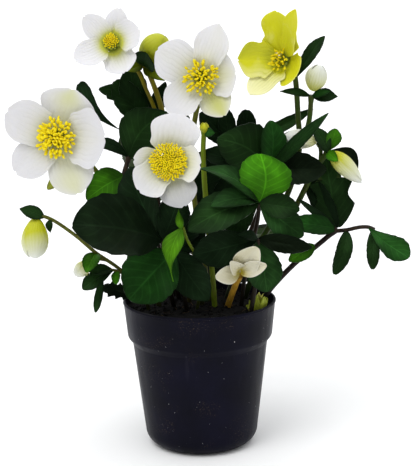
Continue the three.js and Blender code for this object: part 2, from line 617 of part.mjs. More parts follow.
// The cavity's profile, moved in from the outside by the wall; the soil keeps a gap to it.
function cavity(gap, ceiling) {
  const { wall, floor, bodyFootRadius, cornerRadius, bodyTopRadius, bodyTop } = POT;
  const inset = wall + gap;
  const slope = (POT.rimRadius - POT.lip - POT.collarRadius) / (POT.height - POT.collarBottom);
  const mouth = POT.collarRadius + slope * (ceiling - POT.collarBottom) - inset;
  return [
    [0, floor + gap], [bodyFootRadius - cornerRadius, floor + gap],
    [bodyFootRadius - inset - cornerRadius * 0.3, floor + gap + cornerRadius * 0.2],
    [bodyFootRadius - inset, floor + gap + cornerRadius * 0.8],
    [bodyTopRadius - inset, bodyTop + 1], [POT.collarRadius - inset, POT.collarBottom + 1],
    [mouth, ceiling],
  ];
}

function latheAboutZ(profile, segments) {
  const points = profile.map((point) => new THREE.Vector2(...point));
  return new THREE.LatheGeometry(points, segments).rotateX(Math.PI / 2);
}

function pot() {
  const profile = [...potOutside(), ...cavity(0, POT.height).reverse()];
  let shell = toSolid(latheAboutZ(profile, POT.segments));
  for (let i = 0; i < DRAIN.count; i += 1) {
    const turn = (i / DRAIN.count) * Math.PI * 2;
    const drill = new THREE.CylinderGeometry(DRAIN.radius, DRAIN.radius, POT.floor * 4, 10);
    drill.rotateX(Math.PI / 2).translate(DRAIN.ring * Math.cos(turn), DRAIN.ring * Math.sin(turn), 0);
    shell = shell.subtract(toSolid(drill));
  }
  return toGeometry(shell);
}

function soil() {
  const profile = [...cavity(SOIL.gap, SOIL.edge), [38, SOIL.top - 1], [0, SOIL.top]];
  let bed = toSolid(latheAboutZ(profile, SOIL.segments));
  for (const part of [...SCAPES, ...LEAVES]) {
    const { radius, run } = stalkRuns(part)[0];
    const wide = radius + SOCKET.gap;
    const bottom = new THREE.CylinderGeometry(wide, wide, SOCKET.gap * 2, STALK.sides)
      .rotateX(Math.PI / 2).translate(...run[0]);
    bed = bed.subtract(toSolid(tube(run, wide))).subtract(toSolid(bottom));
  }
  return toGeometry(bed.subtract(toSolid(crownBody(SOCKET.gap))));
}

// ---------------------------------------------------------------- assembly

const plant = new THREE.Group();

function addPiece(name, geometry, tint, roughness) {
  const mesh = new THREE.Mesh(geometry, finish(tint, roughness));
  mesh.name = name;
  plant.add(mesh);
}

addPiece('nursery_pot', pot(), 0x24232f, 0.45);
addPiece('potting_soil', soil(), 0x17120e, 1);
addPiece(CROWN.name, crown(), CROWN.tint, 0.6);

for (const flower of FLOWERS) {
  flower.sepals.forEach((row, index) => {
    addPiece(`${flower.name}_sepal_${index + 1}`, sepal(flower, row), flower.tint, 0.55);
  });
  addPiece(`${flower.name}_stamens`, stamenDome(flower), 0xe3c81e, 0.8);
}

for (const scape of SCAPES) addPiece(scape.name, growth(scape), scape.tint, 0.55);

for (const bud of BUDS) {
  const core = egg([bud.base, bud.tip, bud.width, bud.shape]);
  const loose = (bud.blades ?? []).map((row) => blade(row, bud.face));
  addPiece(bud.name, joined([core, ...loose]), bud.tint, 0.55);
}

for (const leaf of LEAVES) addPiece(leaf.name, growth(leaf), leaf.tint, 0.4);

export default plant;
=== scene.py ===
"""A potted hellebore in its black nursery pot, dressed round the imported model.

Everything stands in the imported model's own frame: metres, +Z up, the origin at the centre of the
pot's flat base. The plant's own sizes and places are named in millimetres, and MM turns them
into metres when a mesh is made.
"""

import logging
import math
import random
from collections.abc import Callable, Sequence
from dataclasses import dataclass, field
from enum import Enum

import bpy
from mathutils import Matrix, Vector, noise


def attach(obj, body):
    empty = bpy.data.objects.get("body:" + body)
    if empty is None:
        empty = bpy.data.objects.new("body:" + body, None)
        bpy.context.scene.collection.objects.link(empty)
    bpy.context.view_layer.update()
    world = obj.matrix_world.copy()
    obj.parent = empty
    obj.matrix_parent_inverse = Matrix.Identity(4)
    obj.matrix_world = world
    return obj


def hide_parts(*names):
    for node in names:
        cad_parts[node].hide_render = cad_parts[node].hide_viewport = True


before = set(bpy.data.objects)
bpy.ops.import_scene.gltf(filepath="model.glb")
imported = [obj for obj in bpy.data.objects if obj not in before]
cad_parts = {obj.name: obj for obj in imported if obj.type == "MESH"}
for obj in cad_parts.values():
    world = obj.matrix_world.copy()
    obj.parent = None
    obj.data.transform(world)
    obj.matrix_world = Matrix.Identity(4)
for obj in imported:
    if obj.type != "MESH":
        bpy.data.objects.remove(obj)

log = logging.getLogger("hellebore")

Place = tuple[float, ...]
Colour = tuple[float, float, float, float]
Shape = tuple[list[Vector], list[tuple[int, ...]]]
Piece = bpy.types.Object
Material = bpy.types.Material
Socket = bpy.types.NodeSocket

MM = 0.001
GOLDEN_ANGLE = math.pi * (3 - math.sqrt(5))

# The first seed of each kind of piece; the pieces of a kind count on from it.
FLOWER_SEED = 1
SCAPE_SEED = 11
LEAF_SEED = 31
BUD_SEED = 61

# Shared with the construction model, in millimetres.
CLAW = 3.8  # distance from a flower's axis at which its sepals start
LAYER = 1.4  # step between overlapping sepals, along the flower's axis
CUP_REACH = 30.0  # radius at which a flower's cup has its full slope
CURL = 0.12  # lift of a leaflet's edges, per half width
KNOB_BACK = -4.5  # back of a flower's receptacle, along its axis
KNOB_FRONT = 4.4  # front of it
SOIL_TOP = 115.0
SOIL_EDGE = 111.5
SOCKET_DEPTH = 10.0  # how deep the stalks stand in the soil

MERGE_GAP = 1e-6  # points closer than this, in metres, are one
KNOB_PROFILE = (  # radius and place along the axis of a receptacle's rings
    (0.7, KNOB_BACK), (2.0, KNOB_BACK), (2.9, KNOB_BACK + 1.8), (6.0, -1.7), (6.3, -1.3), (5.9, -1.0),
    (3.1, -0.9), (3.1, KNOB_FRONT - 0.5), (2.4, KNOB_FRONT), (0.5, KNOB_FRONT + 0.1),
)


def linear(code: int) -> Colour:
    """Turn an 0xRRGGBB colour into the linear colour that shaders take.

    Args:
        code: The colour as it is seen.

    Returns:
        Linear red, green, blue and an alpha of 1.
    """
    seen = [(code >> shift & 255) / 255 for shift in (16, 8, 0)]
    red, green, blue = (c / 12.92 if c <= 0.04045 else ((c + 0.055) / 1.055) ** 2.4 for c in seen)
    return red, green, blue, 1.0


# ---- plans of the plant's parts ----


class Green(Enum):
    """Greens of leaves and bracts, from deep shade to a young shoot; BLACK, NIGHT and DEEP add painted shade
    to the leaves' own dark green.
    """

    BLACK = 0x080D06
    NIGHT = 0x0A1508
    DEEP = 0x0E1C0D
    DARK = 0x15290F
    MOSS = 0x193314
    GRASS = 0x183C12
    OLIVE = 0x4E5A08
    SPRING = 0x2E5C0C
    FRESH = 0x3C7A0E
    YOUNG = 0x3F6C0E
    LIME = 0x98A03C


class Stem(Enum):
    """Colours of stalks and of what is dressed as they are."""

    OLIVE = 0x6C7326
    BROWN = 0x766E08
    OCHRE = 0xB48A2C
    LEAF = 0x6C8412
    FERN = 0x2E4A0C
    PURPLE = 0x1B1413
    RECEPTACLE = 0x7C8A2E
    ROOTSTOCK = 0x5A5428
    OUTER_SHOOT = 0xC8C763
    INNER_SHOOT = 0xA9B93A


@dataclass(frozen=True)
class Stalk:
    """A stalk's radius, and the places it runs through; a foot of two numbers is in the soil."""

    radius: float
    places: tuple[Place, ...]


@dataclass(frozen=True)
class Leaflet:
    """A leaflet, a bract or a loose sepal of a bud, in millimetres.

    Attributes:
        tip: Where it ends.
        width: Its greatest width.
        bow: How far its midrib bows towards its face, per length.
        belly: How far along it is widest.
        blunt: How blunt its ends are; smaller is blunter.
        face: The way its upper side looks, if not its parent's.
        green: Its colour, if not its parent's.
        teeth: Teeth along each edge.
        sway: How far its midrib bends clockwise, per length.
        jag: How deep its teeth are, per half width.
        stalk: Its parent's stalk at whose end it starts.
        base: Where it starts, if not at a stalk's end.
    """

    tip: Place
    width: float
    bow: float = 0.1
    belly: float = 0.5
    blunt: float = 1.0
    face: Place | None = None
    green: Green | None = None
    teeth: int = 0
    sway: float = 0.0
    jag: float = 0.075
    stalk: int = 0
    base: Place | None = None


@dataclass(frozen=True)
class Growth:
    """A scape or a compound leaf: stalks that carry leaflets or bracts."""

    name: str
    face: Place
    stem: Stem
    stalks: tuple[Stalk, ...]
    blades: tuple[Leaflet, ...] = ()
    green: Green = Green.DARK
    flower: str = ""
    tip_bud: tuple[Place, Place, float, float] | None = None  # base, tip, width and greening
    teeth: int = 5
    gloom: float = 0.85  # how much painted shade darkens its stalks at the foot


@dataclass(frozen=True)
class Sepal:
    """One sepal of a flower.

    Attributes:
        direction: Degrees anticlockwise from the flower's right.
        reach: Millimetres from the flower's axis to its tip.
        width: Its greatest width.
        layer: 0 is the hindmost, 2 the foremost.
        blush: (strength, how far along, how far across, spread) of a patch of stain.
        blunt: How blunt its tip is, if not as the flower's others.
        painted_shade: How far painted shade greys a sepal that lies in shade, such as one at the back, from
            0 to 1.
    """

    direction: float
    reach: float
    width: float
    layer: int
    blush: tuple[float, float, float, float] = (0.0, 0.6, 0.0, 0.3)
    blunt: float | None = None
    painted_shade: float = 0.0


@dataclass(frozen=True)
class Bloom:
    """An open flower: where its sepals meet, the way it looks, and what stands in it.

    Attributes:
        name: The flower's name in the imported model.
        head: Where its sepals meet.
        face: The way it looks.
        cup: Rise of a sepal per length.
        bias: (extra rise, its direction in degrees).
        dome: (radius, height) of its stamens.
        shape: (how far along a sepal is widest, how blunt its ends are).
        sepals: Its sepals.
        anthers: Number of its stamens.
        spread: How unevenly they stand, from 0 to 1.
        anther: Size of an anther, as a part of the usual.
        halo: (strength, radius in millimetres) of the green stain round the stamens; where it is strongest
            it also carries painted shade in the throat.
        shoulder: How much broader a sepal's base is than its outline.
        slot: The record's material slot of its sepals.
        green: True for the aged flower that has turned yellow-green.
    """

    name: str
    head: Place
    face: Place
    cup: float
    bias: tuple[float, float]
    dome: tuple[float, float]
    shape: tuple[float, float]
    sepals: tuple[Sepal, ...]
    anthers: int
    spread: float
    anther: float = 1.0
    halo: tuple[float, float] = (0.5, 12.0)
    shoulder: float = 0.32
    slot: str = "white_sepals"
    green: bool = False

    def axes(self) -> tuple[Vector, Vector, Vector, Vector]:
        """Work out the flower's own directions.

        Returns:
            Where its sepals meet, its right, its top and the way it looks.
        """
        look = Vector(self.face).normalized()
        up = Vector((0, 0, 1))
        top = (up - look * up.dot(look)).normalized()
        return Vector(self.head), top.cross(look), top, look

    def matrix(self) -> Matrix:
        """Work out where the flower stands.

        Returns:
            Its turn and place, with its look along Z, in millimetres.
        """
        origin, right, top, look = self.axes()
        turn = Matrix((right, top, look)).transposed()
        return Matrix.Translation(origin) @ turn.to_4x4()

    def cup_height(self, x: float, y: float) -> float:
        """Work out the flower's cup.

        Args:
            x: Millimetres to the flower's right.
            y: Millimetres towards its top.

        Returns:
            How far the cupped surface stands forward there.
        """
        radius = math.hypot(x, y)
        extra, towards = self.bias
        turn = math.atan2(y, x) - math.radians(towards)
        slope = self.cup + extra * math.cos(turn)
        return slope * radius * math.sqrt(min(1.0, radius / CUP_REACH))


@dataclass(frozen=True)
class BudPlan:
    """A closed or opening bud: its base, tip and width, and the loose sepals of an opening one.

    Its shape says how far along it is widest, and how blunt its ends are.
    """

    name: str
    base: Place
    tip: Place
    width: float
    greening: float
    loose: tuple[Leaflet, ...] = ()
    face: Place = (0, -1, 0)
    shape: tuple[float, float] = (0.52, 0.6)


def stalk(radius: float, *places: Place) -> Stalk:
    """Return a stalk of this radius through these places."""
    return Stalk(radius, places)


UPWARD = (0, 0.2, 1)
FORWARD = (0, -1, 0.2)

BLOOMS = (
    Bloom("flower_left", (-101, -54, 256), (-0.12, -1, 0.1), 0.2, (0, 0), (14, 9), (0.6, 0.6), (
        Sepal(359, 37.5, 44, 2, (0.05, 0.7, 0, 0.3), painted_shade=0.25),
        Sepal(70, 37.5, 42, 0, (0.48, 0.8, 0.0, 0.34), painted_shade=0.25),
        Sepal(151, 40, 33, 2, painted_shade=0.25),
        Sepal(220, 39.5, 29, 1, painted_shade=0.25),
        Sepal(292, 44, 35, 0, (0.38, 0.8, 0.1, 0.5), painted_shade=0.25),
    ), anthers=130, spread=0.75, anther=1.4, halo=(0.8, 14)),
    Bloom("flower_upper_left", (-64, 10, 320), (-0.05, -1, 0.3), 0.3, (0, 0), (5.6, 8), (0.55, 0.62), (
        Sepal(21, 23.5, 24, 2),
        Sepal(77, 27, 18, 0, (0.6, 0.32, 0.1, 0.16)),
        Sepal(137, 28, 19, 1),
        Sepal(210, 31, 21, 2),
        Sepal(295, 26.5, 26, 0, (0.2, 0.4, 0, 0.4)),
    ), anthers=56, spread=0.1, anther=0.8, halo=(3.1, 8)),
    Bloom("flower_top", (4.2, 0, 293.8), (0.02, -1, 0.1), 0.25, (0.15, 0), (13.5, 9), (0.58, 0.65), (
        Sepal(5, 26.5, 35, 1, (0.2, 0.7, 0, 0.4)),
        Sepal(71, 42, 27, 2, (0.08, 0.8, 0.3, 0.4), 0.85),
        Sepal(147, 39.5, 34, 1, (0.08, 0.8, 0, 0.3)),
        Sepal(226, 37, 28, 2),
        Sepal(300, 34.5, 25, 0, (0.75, 0.75, 0, 0.55)),
    ), anthers=80, spread=0.7, anther=1.35, halo=(0.8, 14)),
    Bloom("flower_front", (-21, -48, 236), (0.05, -1, 0.12), 0.32, (0.1, 350), (13.4, 9), (0.6, 0.6), (
        Sepal(353, 23.5, 27, 2, (0.2, 0.4, 0, 0.4)),
        Sepal(76, 36, 37, 0),
        Sepal(176, 25.5, 20, 1, (0.1, 0.4, 0, 0.3), painted_shade=0.15),
        Sepal(223, 30.5, 28, 2, painted_shade=0.15),
        Sepal(287, 35, 28, 0, painted_shade=0.75),
    ), anthers=230, spread=0.1, anther=0.9, halo=(1.0, 14.5)),
    Bloom("flower_green", (69, 0, 306), (-0.55, -0.8, 0.12), 0.68, (0, 0), (8.5, 8), (0.6, 0.7), (
        Sepal(50, 46, 15, 2, (1.0, 0.5, 0, 2), 0.9),
        Sepal(82, 35.5, 31, 0, (1.0, 0.6, 0, 2)),
        Sepal(184, 27.5, 28, 2, (1.3, 0.8, 0.8, 1.1), 0.8),
        Sepal(242, 31.5, 21, 1, (0.35, 0.2, 0, 0.5)),
        Sepal(324, 22.5, 27, 0, (1.0, 0.6, 0, 2)),
    ), anthers=40, spread=0.9, halo=(2.4, 8.5), shoulder=0.75, slot="green_sepals", green=True),
)

SCAPES = (
    Growth("scape_left", (0, -0.6, 0.8), Stem.OLIVE, (
        stalk(2.0, (-32, -6), (-37, -4, 138), (-55, 2, 180), (-72, 4, 211), (-88, -14, 237)),
    ), (
        Leaflet((-112, -46, 216), 9, 0.1, 0.75, 0.6, FORWARD, Green.LIME, base=(-88, -15, 237)),
    ), flower="flower_left"),
    Growth("scape_upper_left", (0, -0.8, 0.6), Stem.BROWN, (
        stalk(1.6, (-8, 4), (-10, 8, 140), (-16, 16, 190), (-24, 22, 240), (-33, 22, 268),
              (-39, 22, 283), (-46, 20, 299)),
        stalk(2.1, (-24, 22, 240), (-27, 21, 266), (-31, 22, 280), (-36, 22, 294), (-41, 22, 304)),
    ), (
        Leaflet((-24, 12, 291), 14, 0.1, 0.5, 0.8, green=Green.OLIVE, base=(-41, 22, 301)),
        Leaflet((-53, 15, 298), 11, 0.1, green=Green.OLIVE, base=(-41, 22, 302)),
        Leaflet((-37, 5, 312.5), 21, 0.1, 0.55, 0.5, (0, -1, 0.4), base=(-40, 20.5, 301)),
        Leaflet((-57, 27, 311), 11, 0.1, 0.5, 0.8, (-0.4, -0.5, 0.8), base=(-41.5, 22.5, 301.5)),
        Leaflet((-27, 38, 300), 12, 0.1, 0.5, 0.8, (0.3, 0.4, 0.9), base=(-41, 23, 301)),
    ), flower="flower_upper_left"),
    Growth("scape_top", (0, -1, 0), Stem.OLIVE, (
        stalk(2.2, (8, 2), (5, 4, 140), (-2, 10, 190), (-5, 13, 230), (0, 15, 265), (5, 12, 284)),
    ), flower="flower_top"),
    Growth("scape_front", (0, -1, 0), Stem.OLIVE, (
        stalk(2.2, (2, -8), (-1, -11, 145), (-9, -17, 185), (-17, -26, 214)),
    ), flower="flower_front"),
    Growth("scape_green", (0, -0.9, 0.5), Stem.FERN, (
        stalk(2.3, (22, 14), (34, 15, 140), (52, 14, 165), (72, 13, 200), (81, 13, 235),
              (80, 14, 262), (78, 12, 290)),
        stalk(2.1, (81, 13, 235), (88, 10, 255), (90, 6, 278)),
    ), (
        Leaflet((65, 0, 282), 7, 0.1, base=(90, 6, 277)),
        Leaflet((110, 2, 277), 12, 0.06, base=(90, 6, 277)),
        Leaflet((104, -1, 281.5), 7, 0.1, green=Green.GRASS, base=(90, 5, 277)),
        Leaflet((101, 14, 323), 12, 0.1, 0.6, 0.8, (-0.4, -0.9, 0.3)),
    ), flower="flower_green"),
    Growth("scape_right_buds", (0.3, -0.9, 0.4), Stem.FERN, (
        stalk(2.4, (36, 12), (46, 10, 138), (60, 6, 162), (77, 3, 190), (92, 3, 219), (103, 2, 235)),
        stalk(1.6, (97, 4, 227), (97, 5, 236), (94.5, 3, 240.5)),
    ), (
        Leaflet((108.5, 2, 252), 13.5, 0.1, 0.62, 0.6, green=Green.SPRING),
        Leaflet((92, 0, 253), 13, 0.1, 0.55, 0.6, base=(103, 0, 233)),
        Leaflet((109, -9, 228), 9, 0.15, 0.5, 0.7, (-0.2, -1, 0.2), Green.FRESH, base=(102, 1, 234)),
        Leaflet((126, 4, 216), 7.5, 0.1, 0.55, 0.6, (0.2, -1, 0.3), Green.BLACK, sway=-0.32,
                base=(103, 4, 234)),
    )),
    Growth("scape_left_buds", (-0.2, -0.8, 0.5), Stem.OLIVE, (
        stalk(1.5, (-40, -14), (-43, -15, 122), (-51, -17, 136), (-63, -20, 149), (-79, -28, 163),
              (-94, -36, 179), (-111, -43, 193), (-121, -46, 197)),
        stalk(1.3, (-71, -24, 156), (-77, -28, 158), (-82, -32, 158)),
        stalk(1.2, (-57, -18.5, 143), (-66, -24, 148), (-75, -28, 149)),
    ), (
        Leaflet((-133, -48, 202), 11, 0.15, 0.5, 0.8, base=(-115, -44.5, 194.5)),
        Leaflet((-111, -46, 183), 6, 0.2, base=(-111, -43, 193)),
        Leaflet((-85, -43, 151), 14, 0.15, 0.5, 0.6, (-0.2, -1, 0.3), Green.SPRING, base=(-79, -28, 162.5)),
        Leaflet((-84, -34, 149.5), 10, 0.1, 0.6, 0.6, base=(-66, -24, 148)),
        Leaflet((-89, -40, 137), 14, 0.1, 0.65, 0.6, base=(-66, -24, 148)),
        Leaflet((-80, -38, 118), 7, -0.08, 0.65, 0.6, base=(-74, -27.5, 149)),
        Leaflet((-64, -29, 138), 7.5, 0.1, 0.5, 0.5, green=Green.FRESH, base=(-64, -23, 146.8)),
        Leaflet((-76, -10, 131), 15, 0.05, 0.7, 0.5, (0.1, -0.9, 0.4), Green.BLACK, 4, jag=0.6,
                base=(-43, -15, 122)),
    ), Green.DARK),
    Growth("scape_low", (0, -1, 0), Stem.OCHRE, (
        stalk(2.5, (22, -15), (25, -22, 125), (31, -37, 145)),
    ), gloom=0.1),
    Growth("scape_young_bud", (0.3, -0.9, 0.3), Stem.LEAF, (
        stalk(2.2, (12, -12), (10, -12, 150), (7, -10, 190), (5, -9, 235), (6, -10, 254)),
    ), (
        Leaflet((14, -13, 252), 8, 0.2, 0.5, 0.8, base=(6, -10, 252)),
    ), Green.GRASS, tip_bud=((6, -10, 251.5), (6, -11, 260), 5.5, 1.3), gloom=0.1),
)

BUDS = (
    BudPlan("bud_nodding", (-42, 22, 307.5), (-21, 19, 322.5), 21, 1.45, shape=(0.52, 0.45)),
    BudPlan("bud_upright", (91, 5.8, 281.2), (97, 4, 301.5), 15.5, 0.4),
    BudPlan("bud_behind", (93.5, 1.5, 241.6), (67, -2, 247), 13, 0.1),
    BudPlan("bud_right", (105, 0.7, 233.4), (128, -9, 210.5), 13, 0.7, shape=(0.4, 0.75)),
    BudPlan("bud_pendant", (-121.5, -46.4, 195.2), (-124, -50, 164), 18.5, 0.9, shape=(0.58, 0.5)),
    BudPlan("bud_small", (-83.4, -32.7, 156.6), (-95, -38, 148), 9.5, 0.7),
    BudPlan("bud_half_open", (31.7, -39.3, 148), (33, -40.5, 155), 5.5, 0.06, (
        Leaflet((45, -57, 171.5), 20, 0.12, 0.55, 0.5, base=(31, -40.5, 150)),
        Leaflet((24, -57, 161), 11, 0.12, 0.55, 0.7, base=(31.2, -40.4, 149.5)),
        Leaflet((51.5, -60, 158.5), 12, 0.14, 0.6, 0.55, base=(31.5, -40.5, 149)),
        Leaflet((12.5, -54, 148), 14, 0.1, 0.6, 0.6, base=(31.7, -39.3, 148)),
    ), FORWARD),
)

